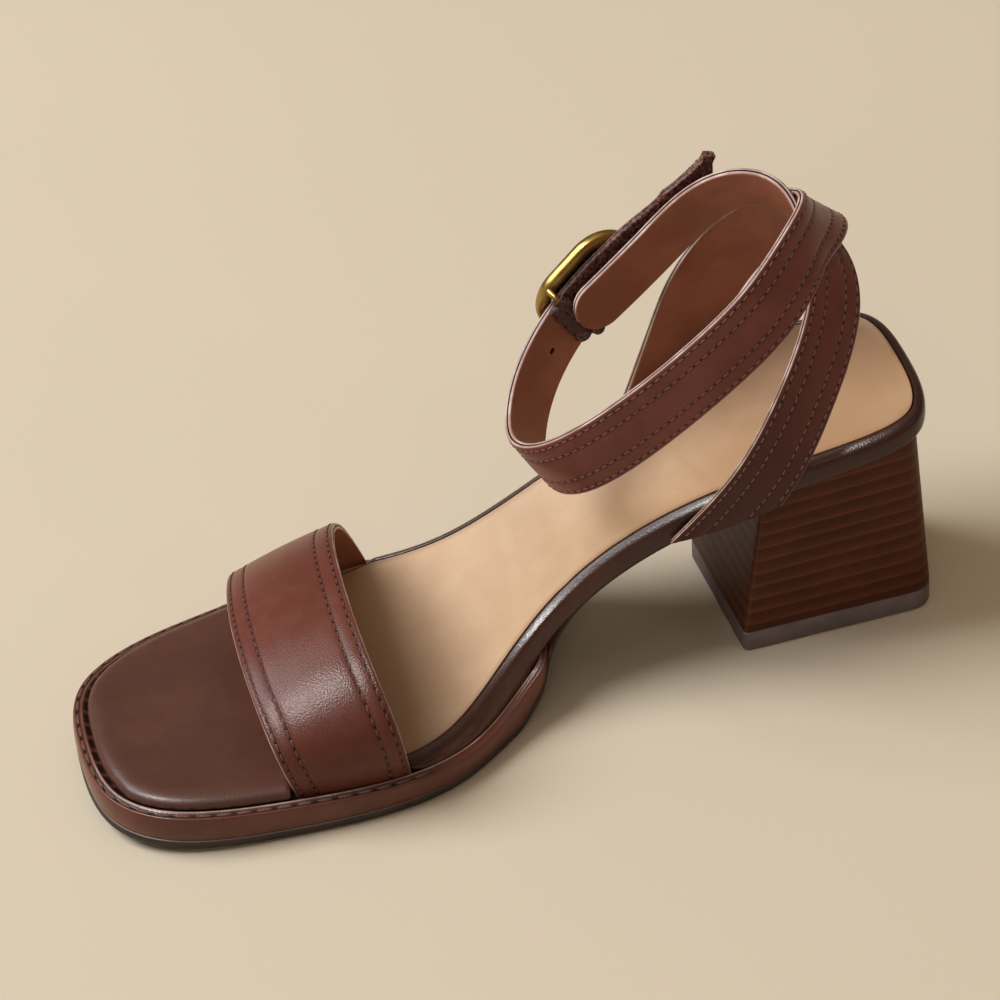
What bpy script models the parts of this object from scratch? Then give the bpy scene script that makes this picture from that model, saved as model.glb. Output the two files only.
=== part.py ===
"""Heeled sandal, right shoe: block heel, stitched platform, vamp strap and a crossed ankle strap.

All tables are in millimetres. Along runs from the heel back to the toe, across is positive on the
inner (big toe) side, up is up. The finished shoe is moved so the origin lies under its middle.
"""
import math

import bmesh
import bpy
import numpy as np
from mathutils import Matrix, Vector

MM = 0.001

# Footbed seen from above: one row per place round its edge
OUTLINE = [
    # place, along, across
    ("heel back", 0.0, 0.0),
    ("heel back inner", 6.0, 25.5),
    ("heel inner", 32.0, 28.0),
    ("shank inner", 74.0, 20.5),
    ("waist inner", 113.5, 19.7),
    ("ball rear inner", 144.0, 38.8),
    ("ball inner", 169.0, 45.6),
    ("toe root inner", 197.0, 44.8),
    ("toe inner", 225.5, 40.2),
    ("toe corner inner", 238.0, 28.7),
    ("toe front", 239.0, 4.4),
    ("toe corner outer", 233.4, -14.1),
    ("toe outer", 213.6, -27.8),
    ("toe root outer", 185.3, -36.2),
    ("ball outer", 156.5, -42.4),
    ("ball rear outer", 125.0, -35.4),
    ("waist outer", 90.0, -28.9),
    ("heel front outer", 54.0, -29.7),
    ("heel outer", 25.7, -31.5),
    ("heel back outer", 4.4, -22.9),
]
# Side profile: height of the rim, hollow of the footbed between its rims, and sole thickness
PROFILE = [
    # along, rim, hollow, sole
    (0.0, 77.5, 1.6, 2.6),
    (35.0, 68.5, 2.0, 2.6),
    (70.0, 56.7, 1.6, 2.6),
    (100.0, 39.4, 1.2, 2.7),
    (130.0, 19.6, 0.7, 2.8),
    (160.0, 12.7, 0.2, 3.0),
    (200.0, 15.2, -1.0, 3.0),
    (240.0, 18.2, -1.0, 3.0),
]
# Thickness of the footbed at its edge, deepest where it rises into the arch
BOARD = [
    # along, thickness
    (0.0, 7.4),
    (35.0, 7.4),
    (70.0, 7.8),
    (100.0, 8.9),
    (118.0, 10.0),
    (132.0, 8.6),
    (146.0, 4.9),
    (160.0, 2.8),
    (200.0, 3.9),
    (240.0, 3.9),
]
SEAT_GAP = 0.3
FLAT_REAR = 127.0
FLAT_FRONT = 186.0
TOE_SPRING = 3.2
TOE_SPRING_RUN = 58.0
SHANK_END = 101.0
TAPER_REAR = 108.0
TAPER_FRONT = 120.0
PLATFORM_REAR = 109.0
PLATFORM_CLOSE = 7.0
WELT_OUT = 4.3
SOLE_IN = 0.3
WAIST_IN = 1.4
SOLE_WAIST_IN = 2.0
OUTSOLE_REAR = 53.8
OUTSOLE_CLOSE = 0.05

# Rolled edge of the footbed, from its underside to the bed of the sock inside the rim
RIM_ROLL = [
    # inset, height share, drop below the rim, share of the sock bed
    (1.6, 0.0, 0.0, 0.0),
    (0.5, 0.16, 0.0, 0.0),
    (0.0, 0.45, 0.0, 0.0),
    (0.35, 1.0, 1.7, 0.0),
    (1.3, 1.0, 0.45, 0.0),
    (2.4, 1.0, 0.0, 0.0),
    (3.2, 1.0, 0.0, 1.0),
]
# Soft edge of the toe pad, which takes the place of the rolled rim in front of the vamp strap
PAD_ROLL = [
    # inset, height over the underside
    (1.6, 0.0),
    (0.5, 0.25),
    (0.0, 0.6),
    (0.6, 1.7),
    (1.9, 2.6),
    (3.9, 3.4),
    (7.0, 3.9),
]
PAD_REAR = 160.0
PAD_FRONT = 184.0
SOCK_BED = 1.5
BED_FADE_REAR = 166.0
BED_FADE_FRONT = 180.0
# Welt edge of the platform, from its underside to the groove beside the footbed
WELT_ROLL = [
    # outset, height share, rise over the platform top
    (3.8, 0.0, 0.0),
    (4.3, 0.3, 0.0),
    (4.3, 0.72, 0.0),
    (3.6, 1.0, -0.3),
    (2.3, 1.0, 0.35),
    (1.0, 1.0, -0.35),
    (0.2, 1.0, -0.7),
    (-1.0, 1.0, 0.0),
]
# Edge of the outsole, from the floor up
SOLE_ROLL = [
    # inset, height share
    (0.9, 0.0),
    (0.0, 0.3),
    (0.0, 0.8),
    (0.6, 1.0),
]

SOCK_THICK = 1.0
SOCK_INSET = 3.6
SOCK_PAD_INSET = 8.2
SOCK_GAP = 0.45
SOCK_FRONT_INNER = 184.5
SOCK_FRONT_OUTER = 178.0
SOCK_FRONT_BOW = 8.5
SOCK_BOW_START = 0.72

# Heel block and top lift: plan rectangle at the base and under the footbed
HEEL_BASE = {"back": -2.0, "front": 56.2, "inner": 20.6, "outer": -24.5}
HEEL_TOP = {"back": 4.2, "front": 51.6, "inner": 22.0, "outer": -26.4}
HEEL_BACK_RADIUS = 6.0
HEEL_FRONT_RADIUS = 1.6
HEEL_BACK_BOW = 1.2
HEEL_LEVELS = 6
LIFT_HEIGHT = 5.2
LIFT_EDGE = 0.7
HEEL_TOP_REACH = 74.0
HEEL_MIDDLE = 27.0
HEEL_TURNS = 6
HEEL_SEAT = (-15.0, 70.0)
CUT_REACH = 20.0
CUT_WIDE = 60.0

# Vamp strap: outer face at its front and rear edge, from the inner side over the foot
VAMP = [
    # front along, front across, front up, rear along, rear across, rear up
    (193.3, 45.2, 10.9, 161.6, 46.6, 10.6),
    (197.3, 44.8, 23.3, 164.8, 48.4, 28.2),
    (199.7, 30.6, 34.9, 168.0, 33.1, 44.5),
    (198.0, 4.4, 38.4, 166.3, 3.8, 48.1),
    (192.8, -20.4, 32.7, 160.9, -23.5, 41.6),
    (187.1, -36.2, 22.3, 153.1, -40.6, 26.5),
    (183.6, -39.4, 10.8, 146.9, -42.9, 10.6),
]
VAMP_THICK = 2.2
VAMP_BULGE = 0.7
NOTCH_GAP = 0.35
NOTCH_DEEP = 6.0
NOTCH_SPREAD = {"ends": 0.02, "edges": 0.011}

# Ankle straps: middle line of each, up from the sole and round behind the ankle
BUCKLE_STRAP = [
    # along, across, up, width
    (72.5, 22.6, 40.7, 16.0),
    (54.6, 30.8, 68.4, 18.0),
    (41.2, 30.1, 94.0, 17.6),
    (29.3, 19.2, 114.0, 18.2),
    (27.3, 3.6, 125.0, 18.2),
    (35.9, -13.8, 131.4, 17.4),
    (48.4, -25.2, 123.9, 17.4),
    (64.2, -28.4, 108.0, 17.4),
    (86.6, -25.6, 91.5, 16.4),
]
HOLED_STRAP = [
    # along, across, up, width
    (71.3, -31.5, 39.5, 18.0),
    (55.3, -35.4, 69.1, 22.0),
    (41.4, -34.3, 95.8, 24.0),
    (26.3, -22.7, 116.6, 21.0),
    (24.5, -4.2, 128.5, 18.6),
    (34.9, 15.0, 133.6, 18.6),
    (49.4, 26.4, 125.4, 19.6),
    (66.7, 28.6, 111.5, 20.0),
    (86.3, 26.4, 95.7, 20.0),
    (104.4, 16.2, 78.0, 20.0),
    (109.8, -1.9, 69.1, 19.6),
    (102.8, -20.1, 75.7, 18.8),
    (85.3, -31.0, 92.5, 18.2),
    (63.6, -32.6, 110.4, 17.8),
    (54.6, -31.2, 119.5, 17.0),
    (47.0, -29.0, 136.0, 16.4),
]
STRAP_THICK = 2.3
STRAP_CHAMFER = 0.45
ANKLE_CENTRE = 45.0
ANKLE_LONG = 48.0
ANKLE_WIDE = 34.0
LEAN_SIDES = 0.13
LEAN_ENDS = -0.735
ROUND_END = 7.0
POINT_LENGTH = 17.0
POINT_WIDTH = 3.6
POINT_NARROW = 0.92
# Sewn patch that joins the two straps where they cross behind the ankle
JOIN_AT = 0.2996
JOIN_HALF = 4.5
JOIN_DEPTH = 3.0
TRIM_REAR = 40.0
TRIM_FRONT = 105.0
TRIM_RISE = 1.8

# Buckle, measured along the holed strap, across it and outward from it
BUCKLE_AT = 0.8369
BUCKLE_LIFT = 2.05
BUCKLE_LONG = 29.5
BUCKLE_WIDE = 23.4
BUCKLE_CORNER = 6.5
RAIL_WIDE = 1.9
RAIL_THICK = 1.6
BAR_AT = -8.2
BAR_DROP = 4.85
BAR_RADIUS = 0.95
HOLE_LONG = 2.6
HOLE_WIDE = 1.7
HOLE_DEPTH = (-5.0, 3.6)
HOLE_TURNS = 16
BAR_BEND = 2.4
BAR_CORNER = 0.7
RAIL_TURNS = 6
# Prong path: along the buckle, outward from the frame's middle plane, radius
PRONG = [
    (-7.4, -2.7, 0.85),
    (-8.1, 0.2, 0.95),
    (-10.4, 2.2, 0.95),
    (-14.7, 2.9, 0.9),
    (-17.2, 2.6, 0.7),
]

STATIONS = 44
LEAD_STATIONS = 14
COLUMNS = 6
DENSE = 1600

LEATHER = ("leather_brown", (0.105, 0.040, 0.028, 1.0), 0.42, 0.0)
TAN = ("sock_tan", (0.520, 0.300, 0.150, 1.0), 0.45, 0.0)
SOLE = ("sole_dark", (0.045, 0.026, 0.021, 1.0), 0.55, 0.0)
STACK = ("heel_stack", (0.070, 0.028, 0.019, 1.0), 0.40, 0.0)
RUBBER = ("lift_grey", (0.035, 0.032, 0.031, 1.0), 0.60, 0.0)
GILT = ("buckle_gilt", (0.520, 0.330, 0.090, 1.0), 0.25, 1.0)


def clear_scene():
    for thing in list(bpy.data.objects):
        bpy.data.objects.remove(thing, do_unlink=True)


def material(recipe):
    """Principled material from (name, colour, roughness, metallic)."""
    name, colour, roughness, metallic = recipe
    made = bpy.data.materials.get(name)
    if made is None:
        made = bpy.data.materials.new(name)
        made.use_nodes = True
        shader = made.node_tree.nodes["Principled BSDF"]
        shader.inputs["Base Color"].default_value = colour
        shader.inputs["Roughness"].default_value = roughness
        shader.inputs["Metallic"].default_value = metallic
        made.diffuse_color = colour
    return made


def solid(name, points, faces, recipe, crease=40.0):
    """Closed mesh object from millimetre points, faces turned outward and shaded smooth."""
    mesh = bpy.data.meshes.new(name)
    mesh.from_pydata([tuple(float(c) * MM for c in p) for p in points], [], faces)
    work = bmesh.new()
    work.from_mesh(mesh)
    bmesh.ops.recalc_face_normals(work, faces=work.faces)
    if work.calc_volume(signed=True) < 0.0:
        bmesh.ops.reverse_faces(work, faces=work.faces)
    work.to_mesh(mesh)
    work.free()
    mesh.shade_smooth()
    mesh.set_sharp_from_angle(angle=math.radians(crease))
    mesh.materials.append(material(recipe))
    made = bpy.data.objects.new(name, mesh)
    bpy.context.scene.collection.objects.link(made)
    return made


def cutter(made):
    made.hide_render = True
    made.display_type = "WIRE"
    return made


def boolean(target, tool, operation):
    change = target.modifiers.new(operation.lower() + " " + tool.name, "BOOLEAN")
    change.operation = operation
    change.solver = "EXACT"
    change.object = tool


def spline(knots, values):
    """Natural cubic spline through the values at the knots."""
    knots = np.asarray(knots, float)
    values = np.asarray(values, float)
    steps = np.diff(knots)
    wide = (-1,) + (1,) * (values.ndim - 1)
    slopes = np.diff(values, axis=0) / steps.reshape(wide)
    matrix = np.eye(len(knots))
    right = np.zeros(values.shape)
    for row in range(1, len(knots) - 1):
        matrix[row, row - 1] = steps[row - 1]
        matrix[row, row] = 2.0 * (steps[row - 1] + steps[row])
        matrix[row, row + 1] = steps[row]
        right[row] = 6.0 * (slopes[row] - slopes[row - 1])
    bends = np.linalg.solve(matrix, right)

    def value(at):
        at = np.asarray(at, float)
        span = np.clip(np.searchsorted(knots, at) - 1, 0, len(knots) - 2)
        step = steps[span].reshape(at.shape + (1,) * (values.ndim - 1))
        before = (knots[span + 1] - at).reshape(step.shape) / step
        after = 1.0 - before
        curve = (before ** 3 - before) * bends[span] + (after ** 3 - after) * bends[span + 1]
        return before * values[span] + after * values[span + 1] + curve * step * step / 6.0

    return value


def path_spline(rows):
    """Spline through rows of points, its parameter running from 0 to 1."""
    rows = np.asarray(rows, float)
    chords = np.sqrt(np.linalg.norm(np.diff(rows[:, :3], axis=0), axis=1))
    knots = np.concatenate([[0.0], np.cumsum(chords)])
    return spline(knots / knots[-1], rows)


def footbed_edge():
    """Dense points round the footbed and the outward normal at each."""
    rows = np.array([row[1:] for row in OUTLINE])
    wrap = 4
    ring = np.vstack([rows[-wrap:], rows, rows[:wrap + 1]])
    chords = np.sqrt(np.linalg.norm(np.diff(ring, axis=0), axis=1))
    knots = np.concatenate([[0.0], np.cumsum(chords)])
    at = np.linspace(knots[wrap], knots[wrap + len(rows)], DENSE, endpoint=False)
    points = spline(knots, ring)(at)
    run = np.roll(points, -1, axis=0) - np.roll(points, 1, axis=0)
    normals = np.column_stack([-run[:, 1], run[:, 0]])
    normals /= np.linalg.norm(normals, axis=1)[:, None]
    return points, normals


EDGE, EDGE_NORMAL = footbed_edge()
PROFILE_AT = np.array([row[0] for row in PROFILE])
rim_height = spline(PROFILE_AT, [row[1] for row in PROFILE])
hollow = spline(PROFILE_AT, [row[2] for row in PROFILE])
sole_thick = spline(PROFILE_AT, [row[3] for row in PROFILE])
board = spline([row[0] for row in BOARD], [row[1] for row in BOARD])


def branches(points):
    """Inner and outer side of a closed plan curve, each ordered from heel to toe."""
    ring = np.roll(points, -int(points[:, 0].argmin()), axis=0)
    tip = int(ring[:, 0].argmax())
    one = ring[:tip + 1]
    other = np.vstack([ring[tip:], ring[:1]])[::-1]
    sides = [one, other] if one[:, 1].mean() > other[:, 1].mean() else [other, one]
    return [np.column_stack([np.maximum.accumulate(s[:, 0]), s[:, 1]]) for s in sides]


def offset_sides(distance):
    """Sides of the footbed edge moved outward by a distance that may vary along the shoe."""
    moved = distance(EDGE[:, 0]) if callable(distance) else np.full(len(EDGE), distance)
    return branches(EDGE + EDGE_NORMAL * moved[:, None])


def across(side, along):
    return np.interp(along, side[:, 0], side[:, 1])


def plan_ring(sides, rear=None, close=1.0, lead=None):
    """Loop of plan points: heel tip, inner side, toe tip, outer side. A rear cut is rounded off.

    A lead starts the loop further back with stations of its own, so the rest fits its neighbour.
    """
    inner, outer = sides
    start = inner[0, 0] if rear is None else rear
    share = (1.0 - np.cos(np.pi * np.arange(STATIONS + 1) / STATIONS)) / 2.0
    at = start + (inner[-1, 0] - start) * share
    if lead is not None:
        ease = 1.0 - np.cos(np.pi / 2.0 * np.arange(LEAD_STATIONS) / LEAD_STATIONS)
        at = np.concatenate([lead + (start - lead) * ease, at])
    left = across(inner, at)
    right = across(outer, at)
    if rear is not None:
        near = np.clip((at[0] + close - at) / close, 0.0, 1.0)
        squeeze = np.sqrt(1.0 - near ** 2)
        middle = (left + right) / 2.0
        left = middle + (left - middle) * squeeze
        right = middle + (right - middle) * squeeze
    forward = np.column_stack([at, left])
    back = np.column_stack([at, right])[-2:0:-1]
    return np.vstack([forward, back])


def lift_ring(plan, height):
    return np.column_stack([plan, np.broadcast_to(height, len(plan))])


def slab(name, rings, under, over, recipe, crease=40.0):
    """Closed body from stacked loops; both ends are covered by rows across the shoe."""
    count = len(rings[0])
    half = count // 2
    points = [tuple(p) for ring in rings for p in ring]
    faces = []
    for level in range(len(rings) - 1):
        for k in range(count):
            nxt = (k + 1) % count
            low = level * count
            faces.append((low + k, low + nxt, low + count + nxt, low + count + k))
    for level, height in ((0, under), (len(rings) - 1, over)):
        base = level * count
        rows = [[base]]
        for k in range(1, half):
            one = np.array(rings[level][k][:2])
            two = np.array(rings[level][count - k][:2])
            row = [base + k]
            for column in range(1, COLUMNS):
                spot = one + (two - one) * column / COLUMNS
                row.append(len(points))
                points.append((spot[0], spot[1], float(height(spot[0], spot[1]))))
            row.append(base + count - k)
            rows.append(row)
        rows.append([base + half])
        for one, two in zip(rows, rows[1:]):
            if len(one) == 1:
                faces += [(one[0], two[c], two[c + 1]) for c in range(COLUMNS)]
            elif len(two) == 1:
                faces += [(one[c], two[0], one[c + 1]) for c in range(COLUMNS)]
            else:
                faces += [(one[c], two[c], two[c + 1], one[c + 1]) for c in range(COLUMNS)]
    return solid(name, points, faces, recipe, crease)


def pad_share(along):
    """How far the rolled rim has passed into the toe pad's soft edge."""
    part = np.clip((np.asarray(along, float) - PAD_REAR) / (PAD_FRONT - PAD_REAR), 0.0, 1.0)
    return part * part * (3.0 - 2.0 * part)


def roll_sides(rim_inset, pad_inset):
    return offset_sides(lambda along: -(rim_inset + (pad_inset - rim_inset) * pad_share(along)))


TOP_SIDES = roll_sides(RIM_ROLL[-1][0], PAD_ROLL[-1][0])


def sock_bed(along):
    """Depth of the bed the sock lies in; it runs out under the vamp strap."""
    part = (np.asarray(along) - BED_FADE_REAR) / (BED_FADE_FRONT - BED_FADE_REAR)
    return SOCK_BED * (1.0 - np.clip(part, 0.0, 1.0))


def footbed_top(along, side):
    """Height of the footbed's upper face, hollow or crowned between its rims."""
    left = across(TOP_SIDES[0], along)
    right = across(TOP_SIDES[1], along)
    share = np.clip((side - (left + right) / 2.0) / np.maximum((left - right) / 2.0, 1e-6), -1.0, 1.0)
    drop = (board(along) - PAD_ROLL[-1][1]) * pad_share(along)
    return rim_height(along) - sock_bed(along) - drop - hollow(along) * (1.0 - share ** 2)


def footbed_under(along, side=0.0):
    return rim_height(along) - board(along)


def shank_bottom(along):
    return footbed_under(along) - SEAT_GAP - sole_thick(along)


def ground(along):
    """Underside of the sole: flat under the ball, sprung at the toe, rising into the arch."""
    along = np.asarray(along, float)
    spring = TOE_SPRING * np.clip((along - FLAT_FRONT) / TOE_SPRING_RUN, 0.0, None) ** 2
    start = shank_bottom(np.array(SHANK_END))
    slope = shank_bottom(np.array(SHANK_END + 0.5)) - shank_bottom(np.array(SHANK_END - 0.5))
    run = FLAT_REAR - SHANK_END
    part = np.clip((along - SHANK_END) / run, 0.0, 1.0)
    rise = start * (2 * part ** 3 - 3 * part ** 2 + 1) + slope * run * (part ** 3 - 2 * part ** 2 + part)
    return np.where(along < SHANK_END, shank_bottom(along), np.where(along < FLAT_REAR, rise, spring))


def sole_top(along, side=0.0):
    return ground(along) + sole_thick(along)


def platform_top(along, side=0.0):
    return footbed_under(along) - SEAT_GAP


def platform_under(along, side=0.0):
    return sole_top(along) + SEAT_GAP


def waist_taper(along, full, narrow):
    """Offset that runs from the narrow value at the waist to the full value at the ball."""
    part = np.clip((along - TAPER_REAR) / (TAPER_FRONT - TAPER_REAR), 0.0, 1.0)
    return narrow + (full - narrow) * part * part * (3.0 - 2.0 * part)


def build_footbed():
    rings = []
    for (inset, share, drop, bed), (pad_inset, pad_height) in zip(RIM_ROLL, PAD_ROLL):
        plan = plan_ring(roll_sides(inset, pad_inset))
        low = footbed_under(plan[:, 0])
        high = rim_height(plan[:, 0]) - drop - bed * sock_bed(plan[:, 0])
        rim = low + (high - low) * share
        rings.append(lift_ring(plan, rim + (low + pad_height - rim) * pad_share(plan[:, 0])))
    return slab("footbed", rings, footbed_under, footbed_top, LEATHER)


def build_platform():
    rings = []
    for outset, share, rise in WELT_ROLL:
        lean = outset - WELT_OUT
        sides = offset_sides(lambda at: waist_taper(at, WELT_OUT, -WAIST_IN) + lean)
        plan = plan_ring(sides, PLATFORM_REAR, PLATFORM_CLOSE)
        low = platform_under(plan[:, 0])
        high = platform_top(plan[:, 0]) + rise * waist_taper(plan[:, 0], 1.0, 0.0)
        rings.append(lift_ring(plan, low + (high - low) * share))
    return slab("platform", rings, platform_under, platform_top, LEATHER)


def build_outsole():
    rings = []
    for inset, share in SOLE_ROLL:
        sides = offset_sides(lambda at: waist_taper(at, WELT_OUT - SOLE_IN, -SOLE_WAIST_IN) - inset)
        plan = plan_ring(sides, PLATFORM_REAR, OUTSOLE_CLOSE, OUTSOLE_REAR)
        low = ground(plan[:, 0])
        high = sole_top(plan[:, 0])
        rings.append(lift_ring(plan, low + (high - low) * share))
    return slab("outsole", rings, lambda a, s: ground(a), sole_top, SOLE)


def build_sock():
    inner, outer = roll_sides(SOCK_INSET, SOCK_PAD_INSET)
    share = np.arange(STATIONS + 1) / STATIONS
    ease = 1.0 - np.cos(share * np.pi / 2.0)
    start = inner[0, 0]
    over = []
    under = []
    for k in range(1, STATIONS + 1):
        one = start + (SOCK_FRONT_INNER - start) * ease[k]
        two = start + (SOCK_FRONT_OUTER - start) * ease[k]
        bow = SOCK_FRONT_BOW * max(0.0, (ease[k] - SOCK_BOW_START) / (1.0 - SOCK_BOW_START)) ** 2
        for column in range(COLUMNS + 1):
            part = column / COLUMNS
            along = one + (two - one) * part
            side = across(inner, along) * (1.0 - part) + across(outer, along) * part
            along += bow * 4.0 * part * (1.0 - part)
            height = float(footbed_top(along, side)) + SOCK_GAP
            under.append((along, side, height))
            over.append((along, side, height + SOCK_THICK))
    return solid("sock", over + under, sheet_faces(STATIONS, COLUMNS + 1), TAN, 60.0)


def sheet_faces(rows, columns):
    """Faces of a closed sheet: an upper grid, a lower grid and the four edges between them."""
    lower = rows * columns
    faces = []
    for r in range(rows - 1):
        for c in range(columns - 1):
            at = r * columns + c
            faces.append((at, at + 1, at + columns + 1, at + columns))
            faces.append((lower + at, lower + at + columns, lower + at + columns + 1, lower + at + 1))
    rim = list(range(columns))
    rim += [r * columns + columns - 1 for r in range(1, rows)]
    rim += [(rows - 1) * columns + c for c in range(columns - 2, -1, -1)]
    rim += [r * columns for r in range(rows - 2, 0, -1)]
    for one, two in zip(rim, rim[1:] + rim[:1]):
        faces.append((one, lower + one, lower + two, two))
    return faces


def heel_plan(share):
    """Rounded rectangle of the heel block at a share of its height."""
    size = {key: HEEL_BASE[key] + (HEEL_TOP[key] - HEEL_BASE[key]) * share for key in HEEL_BASE}
    corners = (
        (size["back"], size["inner"], HEEL_BACK_RADIUS, 90.0),
        (size["back"], size["outer"], HEEL_BACK_RADIUS, 180.0),
        (size["front"], size["outer"], HEEL_FRONT_RADIUS, 270.0),
        (size["front"], size["inner"], HEEL_FRONT_RADIUS, 0.0),
    )
    plan = []
    for along, side, radius, first in corners:
        centre = (along + math.copysign(radius, HEEL_MIDDLE - along), side - math.copysign(radius, side))
        for turn in range(HEEL_TURNS + 1):
            angle = math.radians(first + 90.0 * turn / HEEL_TURNS)
            plan.append((centre[0] + radius * math.cos(angle), centre[1] + radius * math.sin(angle)))
    middle = (size["inner"] + size["outer"]) / 2.0
    reach = (size["inner"] - size["outer"]) / 2.0
    bowed = []
    for along, side in plan:
        bow = HEEL_BACK_BOW * (((side - middle) / reach) ** 2)
        back = np.clip((size["front"] - along) / (size["front"] - size["back"]), 0.0, 1.0)
        bowed.append((along + bow * back, side))
    return bowed


def stack(name, loops, recipe, crease=40.0):
    """Closed body from equal loops of points with flat ends."""
    count = len(loops[0])
    points = [p for loop in loops for p in loop]
    faces = [tuple(range(count)), tuple(range(len(points) - count, len(points)))]
    for level in range(len(loops) - 1):
        for k in range(count):
            nxt = (k + 1) % count
            low = level * count
            faces.append((low + k, low + nxt, low + count + nxt, low + count + k))
    return solid(name, points, faces, recipe, crease)


def build_heel():
    foot = LIFT_HEIGHT + SEAT_GAP
    peak = HEEL_TOP_REACH
    loops = []
    for level in range(HEEL_LEVELS + 1):
        share = level / HEEL_LEVELS
        height = foot + (peak - foot) * share
        loops.append([(a, s, height) for a, s in heel_plan(share)])
    block = stack("heel_block", loops, STACK, 30.0)
    rear, front = HEEL_SEAT
    line = [(at, float(footbed_under(at)) - SEAT_GAP) for at in np.linspace(rear, front, 35)]
    line += [(front, peak + CUT_REACH), (rear, peak + CUT_REACH)]
    sides = (-CUT_WIDE, CUT_WIDE)
    above = stack("cutter_heel_seat", [[(a, s, h) for a, h in line] for s in sides], STACK)
    boolean(block, cutter(above), "DIFFERENCE")
    return block, above


def build_lift():
    base = heel_plan(0.0)
    middle = np.mean(base, axis=0)
    loops = []
    for inset, height in ((LIFT_EDGE, 0.0), (0.0, LIFT_EDGE), (0.0, LIFT_HEIGHT)):
        shrink = 1.0 - inset / HEEL_MIDDLE
        loops.append([(*(middle + (np.array(p) - middle) * shrink), height) for p in base])
    return stack("top_lift", loops, RUBBER, 30.0)


def vamp_grid(offset, spread=None, rows=36, columns=7):
    """Points of the vamp strap's face, moved inward from its outer face by an offset."""
    ends = spread["ends"] if spread else 0.0
    edges = spread["edges"] if spread else 0.0
    table = np.array(VAMP)
    front = path_spline(table[:, :3])
    rear = path_spline(table[:, 3:])

    def face(at, part):
        return front(np.array(at)) * (1.0 - part) + rear(np.array(at)) * part

    grid = []
    fine = 0.004
    near = 0.05
    for r in range(rows):
        at = -ends + (1.0 + 2.0 * ends) * r / (rows - 1)
        for c in range(columns):
            share = c / (columns - 1)
            part = -edges + (1.0 + 2.0 * edges) * share
            run = face(at + fine, part) - face(at - fine, part)
            wide = face(at, part + near) - face(at, part - near)
            normal = np.cross(wide, run)
            normal /= np.linalg.norm(normal)
            bulge = VAMP_BULGE * 4.0 * share * (1.0 - share)
            grid.append(face(at, part) + normal * (bulge - offset))
    return grid, rows, columns


def build_vamp():
    over, rows, columns = vamp_grid(0.0)
    under, rows, columns = vamp_grid(VAMP_THICK)
    return solid("vamp_strap", over + under, sheet_faces(rows, columns), LEATHER, 50.0)


def notch_footbed(footbed):
    """Slots in the footbed's edge where the vamp strap runs down to the welt."""
    over, rows, columns = vamp_grid(-NOTCH_DEEP, NOTCH_SPREAD)
    under, rows, columns = vamp_grid(VAMP_THICK + NOTCH_GAP, NOTCH_SPREAD)
    slot = cutter(solid("cutter_vamp_slot", over + under, sheet_faces(rows, columns), LEATHER))
    boolean(footbed, slot, "DIFFERENCE")
    return slot


def strap_frame(curve, at):
    """Middle point, outward normal and run direction of an ankle strap."""
    fine = 0.002
    row = curve(np.array(at))
    run = curve(np.array(at + fine))[:3] - curve(np.array(at - fine))[:3]
    run /= np.linalg.norm(run)
    out = np.array([(row[0] - ANKLE_CENTRE) / ANKLE_LONG ** 2, row[1] / ANKLE_WIDE ** 2, 0.0])
    out /= np.linalg.norm(out)
    out[2] = LEAN_SIDES + LEAN_ENDS * out[0]
    out -= run * out.dot(run)
    out /= np.linalg.norm(out)
    return row[:3], out, run, row[3]


def band_length(curve):
    steps = np.linspace(0.0, 1.0, 400)
    return float(np.linalg.norm(np.diff(curve(steps)[:, :3], axis=0), axis=1).sum())


def build_band(name, rows, sections, end_length, end_shape):
    """Flat strap with chamfered edges; its far end is shaped over the end length."""
    curve = path_spline(rows)
    length = band_length(curve)
    ends = 1.0 - end_length / length
    main = np.linspace(0.0, ends, sections, endpoint=False)
    at_end = ends + (1.0 - ends) * np.sin(np.linspace(0.0, np.pi / 2.0, 7))
    half = STRAP_THICK / 2.0
    cut = STRAP_CHAMFER
    loops = []
    for at in np.concatenate([main, at_end]):
        spot, out, run, width = strap_frame(curve, at)
        wide = np.cross(run, out)
        reach = width / 2.0 * end_shape(max(0.0, (at - ends) / (1.0 - ends)))
        reach = max(reach, POINT_WIDTH / 2.0)
        shape = ((reach, half - cut), (reach - cut, half), (cut - reach, half), (-reach, half - cut),
                 (-reach, cut - half), (cut - reach, -half), (reach - cut, -half), (reach, cut - half))
        loops.append([tuple(spot + wide * w + out * o) for w, o in shape])
    return stack(name, loops, LEATHER, 50.0)


def build_straps():
    holed = build_band("ankle_straps", HOLED_STRAP, 84, POINT_LENGTH, lambda part: 1.0 - POINT_NARROW * part)
    plain = build_band("cutter_buckle_strap", BUCKLE_STRAP, 50, ROUND_END,
                       lambda part: math.sqrt(max(0.0, 1.0 - part ** 2)))
    join = build_join()
    hole = build_hole()
    boolean(holed, cutter(join), "UNION")
    boolean(holed, cutter(plain), "UNION")
    boolean(holed, cutter(hole), "DIFFERENCE")
    trim = build_trim()
    boolean(holed, cutter(trim), "DIFFERENCE")
    return [holed, join, plain, hole, trim]


def build_trim():
    """Everything below the footbed's underside, where the ankle straps are tucked in."""
    seat = np.linspace(TRIM_REAR, TRIM_FRONT, 20)
    line = [(at, float(footbed_under(at)) + TRIM_RISE) for at in seat]
    line += [(TRIM_FRONT, -CUT_REACH), (TRIM_REAR, -CUT_REACH)]
    sides = (-CUT_WIDE, CUT_WIDE)
    return stack("cutter_strap_foot", [[(a, s, h) for a, h in line] for s in sides], LEATHER)


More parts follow.
